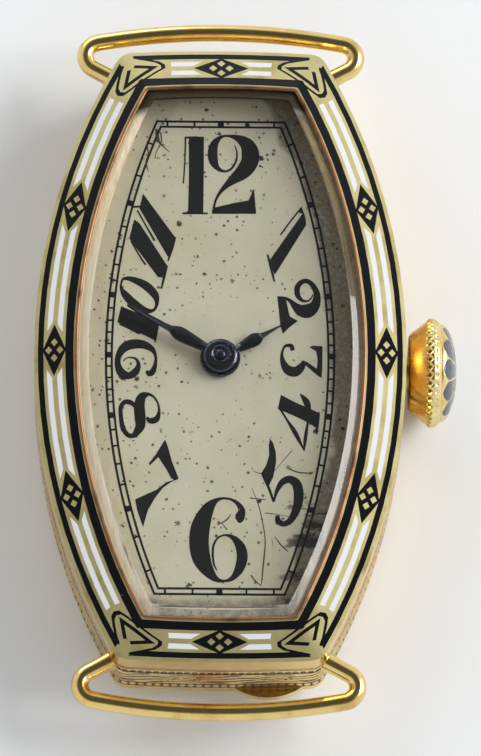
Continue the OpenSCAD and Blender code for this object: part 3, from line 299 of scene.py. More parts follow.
def bezel_gold():
    """Pale green gold: a satin face, and a polished side that turns yellower."""
    mat, tree, shader = material("pale bezel gold")
    worn = use(
        tree, WORN_METAL, Clean=rgb(222, 210, 152), Dull=rgb(184, 166, 100), Roughness=0.3, Scratches=0.5,
    )
    geometry = tree.nodes.new("ShaderNodeNewGeometry")
    upward = rise_between(tree, axes(tree, geometry.outputs["Normal"])[2], 0.5, 0.9)
    side = mix_colour(tree, noise(tree, 900.0, 3.0), rgb(246, 220, 142), rgb(216, 168, 92))
    grain = noise(tree, 3000.0, 3.0, 0.6)
    satin = scaled(tree, upward, 0.2, 0.14)
    shade(
        tree, shader, Metallic=scaled(tree, upward, -0.25, 1.0),
        Base_Color=mix_colour(tree, upward, side, worn["Color"]),
        Roughness=scaled(tree, grain, 0.12, satin),
        Normal=bump(tree, grain, 0.25, 0.01 * MM, worn["Normal"]),
    )
    return mat


def silvered_dial():
    """A matt silvered dial, browned at its edges and most at the right, partly by tarnish and partly by
    painted shadow of the bezel's rim, with specks of dirt.
    """
    mat, tree, shader = material("silvered dial")
    place = axes(tree, object_place(tree))
    cloud = noise(tree, 260.0, 5.0, 0.62)
    fine = noise(tree, 2600.0, 4.0, 0.7)
    silver = mix_colour(tree, rise_between(tree, cloud, 0.35, 0.7), rgb(203, 197, 180), rgb(194, 186, 163))
    inset = use(tree, FLANK_INSET, X=place[0], Y=place[1])["Inset"]
    inset = scaled(tree, math_node(tree, "SUBTRACT", cloud, 0.5), 2.6 * MM, inset)
    # Browning round the edge: partly tarnish, partly painted shadow of the bezel's rim, weighted to the
    # right, where that shadow falls.
    edge = rise_between(tree, inset, 3.6 * MM, 3.2 * MM)
    right = rise_between(tree, place[0], -2.0 * MM, 4.5 * MM)
    right_shade_weight = scaled(tree, right, 0.85, 0.25)
    patchy = times(tree, edge, scaled(tree, rise_between(tree, fine, 0.36, 0.6), 0.5, 0.5))
    foot = rise_between(tree, place[1], -11.9 * MM, -12.7 * MM)
    tarnish_and_shade = times(tree, patchy, right_shade_weight)
    tarnish_and_shade = scaled(tree, foot, 0.75, tarnish_and_shade, clamp=True)
    # This brown tone paints the tarnish and the bezel's shadow alike.
    stain_and_shade_colour = mix_colour(tree, rise_between(tree, fine, 0.42, 0.6), rgb(58, 49, 41), rgb(138, 124, 108))
    toned = mix_colour(tree, tarnish_and_shade, silver, stain_and_shade_colour)
    # Black stains at the lower right, where the dial is worst
    far_right = rise_between(tree, place[0], 1.6 * MM, 4.2 * MM)
    corner = times(tree, far_right, rise_between(tree, place[1], -3.0 * MM, -7.5 * MM))
    smear = noise(tree, 620.0, 5.0, 0.65, stretched(tree, (0.7, 1.5, 1), -20.0))
    reached = scaled(tree, corner, 0.14, smear)
    black = times(tree, rise_between(tree, reached, 0.66, 0.74), corner)
    toned = mix_colour(tree, black, toned, rgb(44, 38, 31))
    ragged = scaled(tree, noise(tree, 9000.0, 4.0, 0.8), 0.7, -0.35)
    distance, pick = cells(tree, 1500.0)
    reach = scaled(tree, axes(tree, pick)[0], 0.5, -0.27)
    inside = math_node(tree, "SUBTRACT", reach, math_node(tree, "ADD", distance, ragged))
    dots = rise_between(tree, inside, -0.02, 0.04)
    small, pick_small = cells(tree, 4300.0)
    reach_small = scaled(tree, axes(tree, pick_small)[1], 0.75, -0.38)
    inside_small = math_node(tree, "SUBTRACT", reach_small, math_node(tree, "ADD", small, ragged))
    dust = rise_between(tree, inside_small, -0.02, 0.08)
    region = rise_between(tree, noise(tree, 330.0, 2.0), 0.34, 0.52)
    dirt = times(tree, math_node(tree, "MAXIMUM", dots, times(tree, dust, 0.85)), region)
    shade(
        tree, shader, Metallic=0.25, Base_Color=mix_colour(tree, dirt, toned, rgb(34, 30, 25)),
        Roughness=scaled(tree, fine, 0.2, 0.4),
        Normal=bump(tree, noise(tree, 5200.0, 3.0, 0.7), 0.22, 0.008 * MM),
    )
    return mat


def printed_black():
    mat, tree, shader = material("printed numerals")
    rub = rise_between(tree, noise(tree, 2400.0, 5.0, 0.7), 0.7, 0.78)
    shade(
        tree, shader, Base_Color=mix_colour(tree, rub, rgb(15, 16, 19), rgb(110, 106, 92)),
        Roughness=0.5, Specular_IOR_Level=0.25, Normal=bump(tree, noise(tree, 3200.0), 0.3, 0.01 * MM),
    )
    return mat


def glass(name, ground):
    """Clear glass that lets the lamps light the dial through it; a ground one is hazed along its edge, and
    its haze carries painted light and shade.
    """
    mat, tree, shader = material(name)
    haze = times(tree, rise_between(tree, noise(tree, 700.0, 4.0), 0.55, 0.8), 0.05)
    shade(
        tree, shader, Base_Color=rgb(250, 251, 248), Roughness=haze, IOR=1.5, Transmission_Weight=1.0,
        Normal=bump(tree, noise(tree, 1200.0, 2.0, 0.5, stretched(tree, (1, 12, 1), 50.0)), 0.05, 0.003 * MM),
    )
    clear = tree.nodes.new("ShaderNodeBsdfTransparent")
    clear.inputs["Color"].default_value = rgb(240, 243, 240)
    light = tree.nodes.new("ShaderNodeLightPath")
    mixed = tree.nodes.new("ShaderNodeMixShader")
    plug(tree, mixed.inputs[0], light.outputs["Is Shadow Ray"])
    plug(tree, mixed.inputs[1], shader.outputs[0])
    plug(tree, mixed.inputs[2], clear.outputs[0])
    surface = mixed
    if ground:
        # The ground bevel's haze carries painted light and shade.
        surface = tree.nodes.new("ShaderNodeMixShader")
        haze_light_shade_shader = tree.nodes.new("ShaderNodeBsdfDiffuse")
        haze_light_shade_amount, colour = bevel_haze_light_and_shade(tree)
        plug(tree, haze_light_shade_shader.inputs["Color"], colour)
        plug(tree, surface.inputs[0], haze_light_shade_amount)
        plug(tree, surface.inputs[1], mixed.outputs[0])
        plug(tree, surface.inputs[2], haze_light_shade_shader.outputs[0])
    plug(tree, tree.nodes["Material Output"].inputs["Surface"], surface.outputs[0])
    return mat


def bevel_haze_light_and_shade(tree):
    """How hazed the ground bevel is at each side, and the tone that its haze has there: painted light at the
    left, where the lit bezel wall shows through, a pale painted streak of light low at the right, and painted
    shade along the top end, where that wall is in shade.
    """
    place = axes(tree, object_place(tree))
    streaks = noise(tree, 900.0, 4.0, 0.6, stretched(tree, (2.2, 0.12, 1), 0.0))
    left = rise_between(tree, place[0], -2.4 * MM, -3.4 * MM)
    right = rise_between(tree, place[0], 2.4 * MM, 3.4 * MM)
    low = rise_between(tree, place[1], 5.0 * MM, -4.0 * MM)
    painted_shade_top = rise_between(tree, place[1], 12.0 * MM, 12.7 * MM)
    foot = rise_between(tree, place[1], -12.0 * MM, -12.7 * MM)
    streaked = rise_between(tree, streaks, 0.32, 0.62)
    # Painted light: the haze is strong and bright at the left and in a pale streak low at the right.
    haze_light_shade_amount = scaled(tree, left, 0.6, 0.04)
    haze_light_shade_amount = scaled(tree, times(tree, right, low), 0.5, haze_light_shade_amount)
    haze_light_shade_amount = times(tree, haze_light_shade_amount, scaled(tree, streaked, 0.6, 0.4))
    haze_light_shade_amount = scaled(tree, foot, 0.08, haze_light_shade_amount)
    # Painted shade: a dark haze along the top end of the bevel.
    haze_light_shade_amount = math_node(tree, "MAXIMUM", haze_light_shade_amount, times(tree, painted_shade_top, 0.8), clamp=True)
    # The haze's bright colour is painted light; its dark colour at the top is painted shade.
    painted_light_colour = mix_colour(tree, right, rgb(255, 244, 222), rgb(216, 208, 196))
    return haze_light_shade_amount, mix_colour(tree, painted_shade_top, painted_light_colour, rgb(60, 54, 40))


YELLOW_GOLD = metal("yellow gold", rgb(240, 212, 138), rgb(206, 160, 88), 0.1)
ROSE_GOLD = metal("worn rose gold", rgb(164, 122, 90), rgb(56, 30, 28), 0.34)
ORANGE_GOLD = metal("orange gold", rgb(238, 196, 116), rgb(196, 134, 62), 0.2)
PALE_GOLD = metal("pale crown gold", rgb(244, 228, 168), rgb(222, 190, 110), 0.12)
PRINT = printed_black()

materials = {
    "gold_case": YELLOW_GOLD,
    "gold_tube": metal("satin gold", rgb(226, 190, 110), rgb(190, 140, 70), 0.3),
    "black_enamel": enamel("black enamel", rgb(16, 16, 19), rgb(96, 90, 78), gloss=0.16, pitted=0.7),
    "white_enamel": enamel("white enamel", rgb(236, 236, 236), rgb(206, 202, 190)),
    "crown_enamel": enamel("slate enamel", rgb(84, 86, 91), rgb(58, 58, 62)),
    "crystal": glass("crystal glass", ground=False),
    "dial_silver": silvered_dial(),
    "dark_steel": metal("dark hand steel", rgb(74, 78, 92), rgb(34, 32, 36), 0.14),
    "blued_steel": metal("blued screw steel", rgb(48, 62, 140), rgb(34, 34, 70), 0.16),
    "gilt_brass": metal("gilt brass", rgb(226, 196, 134), rgb(186, 146, 88), 0.24),
    "ruby": enamel("ruby", rgb(158, 20, 50), rgb(120, 12, 36), gloss=0.06),
    "steel": metal("polished steel", rgb(204, 204, 208), rgb(160, 158, 158), 0.18),
}


def dress(obj, *mats):
    obj.data.materials.clear()
    for mat in mats:
        obj.data.materials.append(mat)


for subpart in frame["record"]["subparts"]:
    dress(nodes[subpart["node"]], materials[subpart["material_slot"]])
dress(nodes["bezel"], bezel_gold())


# Mesh helpers
WELD_DISTANCE = 0.0001 * MM
LEAST_CORNER = 0.15 * MM
HAIR = 0.01 * MM
# Points of a quarter of the case's outline along its flank, round its corner and along its end
FLANK_STEPS, CORNER_STEPS, END_STEPS = 48, 12, 16


def placed(name, data):
    obj = bpy.data.objects.new(name, data)
    bpy.context.scene.collection.objects.link(obj)
    return obj


def piece(name, bm, body, slot, *mats, smooth=True, replaces=()):
    """Turns a mesh that is built in place into a finished piece that rides on a body."""
    bmesh.ops.recalc_face_normals(bm, faces=bm.faces)
    for face in bm.faces:
        face.smooth = smooth
    mesh = bpy.data.meshes.new(name)
    for mat in mats:
        mesh.materials.append(mat)
    bm.to_mesh(mesh)
    bm.free()
    obj = placed(name, mesh)
    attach(obj, body)
    if replaces:
        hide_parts(*replaces)
    return obj


def chain(bm, points, closed=True):
    """Vertices at the points, joined in turn by edges."""
    verts = [bm.verts.new(point) for point in points]
    ends = zip(verts, verts[1:] + verts[:1]) if closed else zip(verts, verts[1:])
    return verts, [bm.edges.new(pair) for pair in ends]


def sheet(bm, rows, closed=True):
    """Extrudes a first row of points from row to row; gives each row's vertices and faces."""
    verts, edges = chain(bm, rows[0], closed)
    made = [(verts, [])]
    for row in rows[1:]:
        geom = bmesh.ops.extrude_edge_only(bm, edges=edges)["geom"]
        fresh = {item for item in geom if isinstance(item, bmesh.types.BMVert)}
        edges = [item for item in geom if isinstance(item, bmesh.types.BMEdge)]
        edges = [edge for edge in edges if fresh.issuperset(edge.verts)]
        ends = [[edge.other_vert(vert) for edge in vert.link_edges] for vert in verts]
        verts = [next(end for end in near if end in fresh) for near in ends]
        for vert, place in zip(verts, row):
            vert.co = place
        made.append((verts, [item for item in geom if isinstance(item, bmesh.types.BMFace)]))
    return made


def weld(bm):
    bmesh.ops.remove_doubles(bm, verts=bm.verts, dist=WELD_DISTANCE)


def close_ends(bm):
    rims = [edge for edge in bm.edges if edge.is_boundary]
    return bmesh.ops.holes_fill(bm, edges=rims, sides=0)["faces"]


def turned(bm, profile, centre, axis, steps):
    """Spins a profile about an axis and closes its seam and poles."""
    verts, edges = chain(bm, profile, closed=False)
    bmesh.ops.spin(
        bm, geom=verts + edges, cent=centre, axis=axis, dvec=(0, 0, 0), angle=2 * math.pi, steps=steps,
        use_merge=True, use_duplicate=False,
    )
    weld(bm)


def smooth_path(points, steps):
    """A Catmull-Rom curve through points of any dimension."""
    padded = [points[0]] + list(points) + [points[-1]]
    result = []
    for p0, p1, p2, p3 in zip(padded, padded[1:], padded[2:], padded[3:]):
        for step in range(steps):
            t = step / steps
            result.append(tuple(
                0.5 * (2 * b + (c - a) * t + (2 * a - 5 * b + 4 * c - d) * t * t
                       + (3 * b - a - 3 * c + d) * t ** 3)
                for a, b, c, d in zip(p0, p1, p2, p3)
            ))
    result.append(tuple(points[-1]))
    return result


def wire(bm, path, radii, sides):
    """A round wire along a path, with a radius for each of its points."""
    loops = []
    for i, point in enumerate(path):
        ahead = path[min(i + 1, len(path) - 1)] - path[max(i - 1, 0)]
        place = Matrix.Translation(point) @ ahead.to_track_quat("Z", "Y").to_matrix().to_4x4()
        circle = bmesh.ops.create_circle(bm, cap_ends=False, radius=radii[i], segments=sides, matrix=place)
        loops.append(list({edge for vert in circle["verts"] for edge in vert.link_edges}))
    for a, b in zip(loops, loops[1:]):
        bmesh.ops.bridge_loops(bm, edges=a + b)
    close_ends(bm)


def flank_x(radius, y):
    return CASE_W / 2 - FLANK_R + math.sqrt(radius * radius - y * y)


def case_outline(inset):
    """The case's outline at an inset, anticlockwise from 3 o'clock, as in the part's source."""
    radius = max(CORNER_R - inset, LEAST_CORNER)
    corner = Vector((0.0, CASE_L / 2 - inset - radius))
    corner.x = flank_x(FLANK_R - inset - radius, corner.y)
    centre_x = CASE_W / 2 - FLANK_R
    turn = math.atan2(corner.y, corner.x - centre_x)
    quarter = []
    for k in range(FLANK_STEPS + 1):
        a = turn * k / FLANK_STEPS
        quarter.append((centre_x + (FLANK_R - inset) * math.cos(a), (FLANK_R - inset) * math.sin(a)))
    for k in range(1, CORNER_STEPS + 1):
        a = turn + (math.pi / 2 - turn) * k / CORNER_STEPS
        quarter.append((corner.x + radius * math.cos(a), corner.y + radius * math.sin(a)))
    for k in range(1, END_STEPS):
        s = 1 - k / END_STEPS
        quarter.append((corner.x * s, CASE_L / 2 - inset + END_BOW * (1 - s * s)))
    tip = CASE_L / 2 - inset + END_BOW
    points = quarter + [(0, tip)] + [(-x, y) for x, y in quarter[:0:-1]]
    return points + [(-x, -y) for x, y in quarter] + [(0, -tip)] + [(x, -y) for x, y in quarter[:0:-1]]


def evenly(points, count):
    """A closed outline resampled at equal steps, with each step's outward direction."""
    closed = points + [points[0]]
    lengths = [math.dist(a, b) for a, b in zip(closed, closed[1:])]
    total = sum(lengths)
    result, i, passed = [], 0, 0.0
    for k in range(count):
        target = total * k / count
        while passed + lengths[i] < target:
            passed += lengths[i]
            i += 1
        (x0, y0), (x1, y1) = closed[i], closed[i + 1]
        t = (target - passed) / lengths[i]
        outward = Vector((y1 - y0, x0 - x1)).normalized()
        result.append((Vector((x0 + (x1 - x0) * t, y0 + (y1 - y0) * t)), outward))
    return result, total


# Dial printing: strokes and blots in enlarged pixels of the photograph
ZOOM = 6.03
UPPER_HALF = (90, 110)
LOWER_HALF = (90, 350)
REFRACTION_SHIFT = 1.6
INK_Z = DIAL_Z + HAIR
INK_T = 0.006 * MM
STROKE_STEPS = 7

# A stroke's point is x, y and width; a blot's is x and y
UPPER_PRINT = {
    "twelve": [
        [(641, 157, 92), (641, 380, 90), (637, 620, 92)],
        [(576, 160, 10), (572, 300, 9), (563, 440, 9)],
        [(570, 163, 12), (645, 160, 12)],
        [(556, 619, 12), (710, 619, 12)],
        [(872, 208, 6), (885, 250, 10), (882, 300, 12), (852, 350, 14), (810, 366, 16), (768, 345, 30),
         (744, 300, 56), (740, 245, 58), (754, 195, 44), (790, 160, 20), (835, 153, 14), (895, 168, 44),
         (945, 205, 84), (966, 255, 106), (962, 310, 104), (925, 365, 92), (870, 410, 62), (825, 448, 36),
         (785, 492, 20), (758, 540, 14), (745, 592, 14)],
        [(735, 622), (735, 598), (755, 583), (870, 556), (955, 541), (972, 505), (982, 470), (990, 485),
         (1002, 622)],
    ],
    "one": [
        [(1283, 618), (1300, 650), (1303, 690), (1114, 990), (1080, 905)],
        [(1147, 750, 10), (1205, 672, 10), (1262, 600, 10)],
        [(1255, 603), (1275, 576), (1302, 650), (1284, 622), (1262, 616)],
        [(1070, 866, 10), (1090, 940, 16), (1112, 1032, 10)],
    ],
    "two": [
        [(1343, 1106, 6), (1334, 1130, 9), (1310, 1148, 12), (1278, 1143, 20), (1252, 1112, 32),
         (1250, 1066, 34), (1276, 1034, 30), (1312, 1029, 28), (1346, 1058, 32), (1368, 1110, 42),
         (1358, 1170, 60), (1318, 1206, 84), (1272, 1204, 72), (1236, 1178, 44), (1208, 1148, 24),
         (1175, 1130, 16), (1138, 1124, 12)],
        [(1128, 1118), (1176, 1128), (1184, 1150), (1204, 1240), (1254, 1268), (1200, 1308), (1163, 1346),
         (1148, 1300), (1138, 1200)],
    ],
    "eleven": [
        [(266, 655), (300, 680), (466, 935), (446, 1006), (410, 1004), (236, 770)],
        [(247, 785, 10), (290, 860, 10), (335, 930, 12)],
        [(466, 932, 10), (448, 1000, 16), (430, 1074, 10)],
        [(320, 500), (342, 530), (515, 765), (500, 830), (470, 882), (297, 588)],
        [(285, 600, 10), (335, 690, 10), (390, 785, 14)],
        [(260, 580, 12), (305, 578, 12)],
        [(516, 762, 10), (495, 830, 16), (470, 907, 10)],
    ],
    "ten": [
        [(188, 1042, 12), (202, 1014, 16), (252, 1016, 32), (332, 1052, 50), (390, 1108, 46),
         (403, 1160, 24), (386, 1200, 18), (340, 1206, 34), (270, 1168, 52), (214, 1112, 44),
         (189, 1072, 20), (187, 1042, 12)],
        [(188, 1178), (330, 1238), (410, 1280), (406, 1340), (395, 1388), (300, 1340), (165, 1274)],
        [(178, 1286, 9), (240, 1316, 9), (300, 1345, 12)],
        [(411, 1272, 10), (402, 1330, 16), (392, 1398, 10)],
    ],
    "nine": [
        [(340, 1568, 14), (356, 1584, 34), (378, 1572, 36), (393, 1530, 24), (396, 1482, 18), (374, 1438, 34),
         (320, 1410, 50), (255, 1408, 58), (204, 1430, 54), (172, 1480, 38), (168, 1532, 38), (190, 1580, 52),
         (235, 1598, 42), (274, 1574, 44), (292, 1535, 28), (280, 1500, 16), (250, 1488, 10), (216, 1494, 7),
         (200, 1512, 7)],
    ],
    "three": [
        [(1322, 1426), (1340, 1417), (1402, 1420), (1400, 1560), (1396, 1612), (1375, 1600), (1284, 1522),
         (1282, 1504), (1310, 1516), (1368, 1556), (1372, 1500), (1362, 1450)],
        [(1222, 1446, 26), (1212, 1418, 26), (1176, 1420, 16), (1158, 1460, 16), (1162, 1510, 32),
         (1190, 1560, 56), (1236, 1574, 60), (1274, 1545, 46), (1290, 1510, 22)],
    ],
}
LOWER_PRINT = {
    "four": [
        [(1150, 266), (1240, 312), (1345, 358), (1382, 376), (1368, 470), (1320, 436), (1225, 390),
         (1132, 352)],
        [(1142, 345, 12), (1190, 420, 14), (1240, 500, 28), (1290, 600, 6)],
        [(1290, 605, 8), (1298, 530, 22), (1312, 440, 14), (1322, 380, 20), (1305, 310, 40), (1266, 260, 6)],
        [(1382, 370, 10), (1373, 440, 16), (1364, 502, 10)],
    ],
    "five": [
        [(1085, 528), (1103, 555), (1120, 610), (1122, 670), (1105, 760), (1075, 822), (1052, 790),
         (1030, 742), (1062, 690), (1080, 630), (1078, 570)],
        [(1042, 752, 14), (1075, 820, 16), (1108, 912, 14)],
        [(1110, 908, 10), (1124, 852, 22), (1158, 794, 38), (1205, 776, 46), (1246, 806, 58), (1258, 872, 60),
         (1246, 950, 52), (1212, 1018, 40), (1170, 1044, 34), (1134, 1026, 36), (1132, 992, 22)],
    ],
    "six": [
        [(884, 1022, 34), (900, 1008, 60), (914, 962, 42), (884, 916, 24), (832, 892, 14), (770, 898, 24),
         (714, 950, 72), (670, 1050, 112), (657, 1150, 118), (672, 1250, 110), (714, 1330, 72),
         (762, 1378, 34), (812, 1388, 16), (862, 1368, 32), (902, 1310, 58), (918, 1240, 66),
         (904, 1178, 58), (866, 1130, 32), (820, 1112, 14), (774, 1126, 12), (746, 1170, 14),
         (740, 1230, 14), (748, 1290, 12), (766, 1326, 5)],
    ],
    "seven": [
        [(452, 535), (468, 572), (495, 670), (535, 772), (515, 782), (488, 768), (465, 722), (412, 642),
         (360, 692), (354, 680), (398, 622)],
        [(532, 770), (460, 793), (400, 838), (272, 896), (284, 960), (320, 1066), (332, 1020), (350, 960),
         (390, 890), (440, 826), (490, 792)],
    ],
    "eight": [
        [(348, 262, 24), (314, 278, 52), (298, 325, 64), (302, 400, 66), (302, 455, 58), (272, 505, 36)],
        [(284, 504, 34), (236, 512, 28), (200, 470, 30), (187, 400, 26), (186, 342, 26), (210, 309, 28),
         (246, 312, 28), (272, 336, 20)],
        [(345, 258, 20), (384, 278, 14), (410, 320, 12), (416, 370, 18), (400, 412, 38), (364, 422, 34),
         (340, 402, 16)],
    ],
}
LOWER_CRACKS = {
    "cracks": [
        [(975, 828, 4), (1012, 920, 5), (1040, 1030, 6), (1056, 1150, 6), (1046, 1280, 9), (1034, 1405, 6)],
        [(962, 888, 6), (1060, 898, 5)],
        [(1056, 978, 6), (1120, 986, 4), (1200, 1000, 4)],
        [(970, 1352, 8), (1000, 1392, 8), (1034, 1416, 5)],
        [(1112, 1118, 4), (1150, 1170, 8), (1195, 1212, 5)],
        [(1192, 708, 6), (1260, 734, 8), (1345, 738, 7)],
        [(985, 728, 4), (1035, 742, 5)],
        [(1098, 740, 3), (1150, 680, 4), (1215, 606, 5)],
        [(765, 1052, 4), (820, 1022, 9), (850, 985, 5)],
        [(795, 1040, 4), (826, 1080, 8)],
        [(1096, 1128, 3), (1104, 1180, 3)],
    ],
}
UPPER_CRACKS = {
    "cracks": [
        [(400, 110, 14), (408, 170, 24), (425, 200, 10), (480, 250, 4)],
        [(425, 130, 10), (430, 190, 8), (400, 250, 5), (392, 290, 5)],
        [(340, 210, 12), (352, 260, 8), (338, 310, 10), (352, 368, 4)],
        [(1018, 332, 14), (1046, 342, 4)],
        [(1230, 95, 5), (1252, 72, 10), (1282, 82, 12), (1288, 120, 6)],
    ],
}


def ribbon(bm, stroke, to_dial):
    """A flat ribbon along a stroke, as wide as the stroke's points say."""
    path = smooth_path(stroke, STROKE_STEPS)
    rows = []
    for i, (x, y, width) in enumerate(path):
        x0, y0, _ = path[max(i - 1, 0)]
        x1, y1, _ = path[min(i + 1, len(path) - 1)]
        length = math.hypot(x1 - x0, y1 - y0) or 1.0
        nx, ny = (y0 - y1) / length * width / 2, (x1 - x0) / length * width / 2
        rows.append((to_dial(x + nx, y + ny), to_dial(x - nx, y - ny)))
    sheet(bm, rows, closed=False)


def print_shapes(bm, glyphs, corner):
    def to_dial(x, y):
        return seen_at(corner[0] + x / ZOOM, corner[1] + y / ZOOM + REFRACTION_SHIFT, INK_Z)
    for shapes in glyphs.values():
        for shape in shapes:
            if len(shape[0]) == 3:
                ribbon(bm, shape, to_dial)
            else:
                edges = chain(bm, [to_dial(x, y) for x, y in shape])[1]
                bmesh.ops.triangle_fill(bm, edges=edges, use_beauty=True)


def ink(name, bm, body, mat):
    """Gives flat printing the thickness of ink, facing up."""
    for face in bm.faces:
        face.normal_update()
        if face.normal.z < 0:
            face.normal_flip()
    bmesh.ops.solidify(bm, geom=bm.faces[:], thickness=INK_T)
    piece(name, bm, body, "black_enamel", mat, smooth=False)


def numerals():
    bm = bmesh.new()
    print_shapes(bm, UPPER_PRINT, UPPER_HALF)
    print_shapes(bm, LOWER_PRINT, LOWER_HALF)
    ink("dial_numerals", bm, "case", PRINT)


def cracks():
    mat = metal("dirt in the cracks", rgb(70, 60, 46), rgb(34, 28, 22), 0.6)
    mat.node_tree.nodes["Principled BSDF"].inputs["Metallic"].default_value = 0.0
    bm = bmesh.new()
    print_shapes(bm, UPPER_CRACKS, UPPER_HALF)
    print_shapes(bm, LOWER_CRACKS, LOWER_HALF)
    ink("dial_cracks", bm, "case", mat)


# Minute track: the radius of its flanks, half its width and length, and how far it lies up the dial
TRACK_R = 32.3 * MM
TRACK_HALF_W = 5.58 * MM
TRACK_HALF_L = 12.27 * MM
TRACK_GAP = 0.28 * MM
TRACK_LINE = 0.11 * MM
TRACK_SHIFT = 0.2 * MM
TRACK_STEPS = 40
TICK_HALF_W, FIFTH_TICK_HALF_W = 0.05 * MM, 0.15 * MM


def track_points(inset, half_length):
    """A sharp-cornered line inside the track's outer one: two flank arcs and two straight ends."""
    radius = TRACK_R - inset
    turn = math.asin(half_length / radius)
    centre_x = TRACK_HALF_W - TRACK_R
    right = [(centre_x + radius * math.cos(a), radius * math.sin(a))
             for a in (turn * (k / TRACK_STEPS - 1) for k in range(2 * TRACK_STEPS + 1))]
    return right + [(-x, -y) for x, y in right]


def track_ring(bm, inset, half_length):
    outer = track_points(inset, half_length)
    inner = track_points(inset + TRACK_LINE, half_length - TRACK_LINE)
    sheet(bm, [[(x, y + TRACK_SHIFT, INK_Z) for x, y in line] for line in (outer, inner)])


def track_tick(bm, minute):
    """A tick square to the track where the minute's ray meets it, broad at each fifth minute."""
    angle = math.radians(90 - 6 * minute)
    ray = Vector((math.cos(angle), math.sin(angle)))
    centre = Vector((math.copysign(TRACK_R - TRACK_HALF_W, -ray.x), 0.0))
    along = ray.dot(centre)
    reach = along + math.sqrt(along * along + TRACK_R * TRACK_R - centre.length_squared)
    point = ray * reach
    inward = (centre - point).normalized()
    if abs(point.y) > TRACK_HALF_L:
        point = ray * (TRACK_HALF_L / abs(ray.y))
        inward = Vector((0, -math.copysign(1, ray.y)))
    half = FIFTH_TICK_HALF_W if minute % 5 == 0 else TICK_HALF_W
    side = Vector((-inward.y, inward.x)) * half
    depth = inward * TRACK_GAP
    corners = (point + side, point - side, point - side + depth, point + side + depth)
    bm.faces.new([bm.verts.new((c.x, c.y + TRACK_SHIFT, INK_Z)) for c in corners])


def minute_track():
    bm = bmesh.new()
    track_ring(bm, 0.0, TRACK_HALF_L)
    track_ring(bm, TRACK_GAP, TRACK_HALF_L - TRACK_GAP)
    for minute in range(60):
        track_tick(bm, minute)
    ink("minute_track", bm, "case", PRINT)


numerals()
cracks()
minute_track()


# Hands
HAND_EDGE = 0.03 * MM
KEEL_RISE = 0.05 * MM
KEEL_HALF_W = 0.12 * MM
TIP_HALF_W = 0.02 * MM
HAND_STEPS = 6
BOSS_SIDES = 64
CRISP_ANGLE = 38.0


def hand(name, body, length, angle, boss_r, level, leaf, hub):
    """A bevelled leaf on a stepped boss, with a thin shaft that runs out to the tip."""
    z0, z1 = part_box(level)[0].z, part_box(level)[1].z
    shoulder = z1 - HAND_EDGE
    profile = smooth_path([(s * MM, w * MM) for s, w in leaf] + [(length, TIP_HALF_W)], HAND_STEPS)
    turn = Matrix.Rotation(math.radians(angle), 3, "Z")
    bm = bmesh.new()
    rows = []
    for s, half in profile:
        keel = z1 + KEEL_RISE * min(1.0, half / KEEL_HALF_W)
        section = ((-half, z0), (-half, shoulder), (0, keel), (half, shoulder), (half, z0))
        rows.append([turn @ Vector((s, y, z)) for y, z in section])
    sheet(bm, rows)
    close_ends(bm)
    outline = [(0, z0), (boss_r, z0), (boss_r, shoulder), (boss_r - 2 * HAND_EDGE, z1 + HAND_EDGE)]
    outline += [(r * MM, z1 + lift * MM) for r, lift in hub] + [(0, z1 + hub[-1][1] * MM)]
    turned(bm, [(r, 0, z) for r, z in outline], (0, 0, 0), (0, 0, 1), BOSS_SIDES)
    obj = piece(name, bm, body, "dark_steel", materials["dark_steel"], replaces=[level])
    obj.modifiers.new("crisp edges", "EDGE_SPLIT").split_angle = math.radians(CRISP_ANGLE)


# Leaves: distances along the hand and half its width there. Hubs: radii and heights over the hand. In mm.
MINUTE_LEAF = [(0.6, 0.2), (0.9, 0.21), (1.4, 0.27), (2.0, 0.33), (2.35, 0.33), (2.6, 0.24), (2.8, 0.15),
               (3.2, 0.12), (4.2, 0.1)]
HOUR_LEAF = [(0.7, 0.17), (1.0, 0.19), (1.5, 0.28), (1.95, 0.33), (2.2, 0.24), (2.4, 0.13), (2.9, 0.07)]
MINUTE_HUB = [(0.6, 0.07), (0.54, 0.05), (0.5, 0.11), (0.42, 0.13), (0.37, 0.1), (0.25, 0.08), (0.22, 0.18),
              (0.15, 0.22)]
HOUR_HUB = [(0.7, 0.04)]
hand("minute_hand_leaf", "minute", MINUTE_LEN, MINUTE_ANGLE, MINUTE_BOSS_R, "minute_hand", MINUTE_LEAF,
     MINUTE_HUB)
hand("hour_hand_leaf", "hour", HOUR_LEN, HOUR_ANGLE, HOUR_BOSS_R, "hour_hand", HOUR_LEAF, HOUR_HUB)
dress(nodes["cannon_pinion"], materials["steel"])


# Lugs
LUG_HALF_W = 6.65 * MM
LUG_BEND_R = 0.75 * MM
LUG_BOW = 0.55 * MM
LUG_FOOT_X, LUG_FOOT_Y = 0.66 * MM, 0.2 * MM
FOOT_SUNK = 0.1 * MM
SOLDER_SWELL, SOLDER_REACH = 0.3, 0.35 * MM
WIRE_SIDES = 32
LEG_STEPS, BEND_STEPS, BAR_STEPS = 12, 20, 30


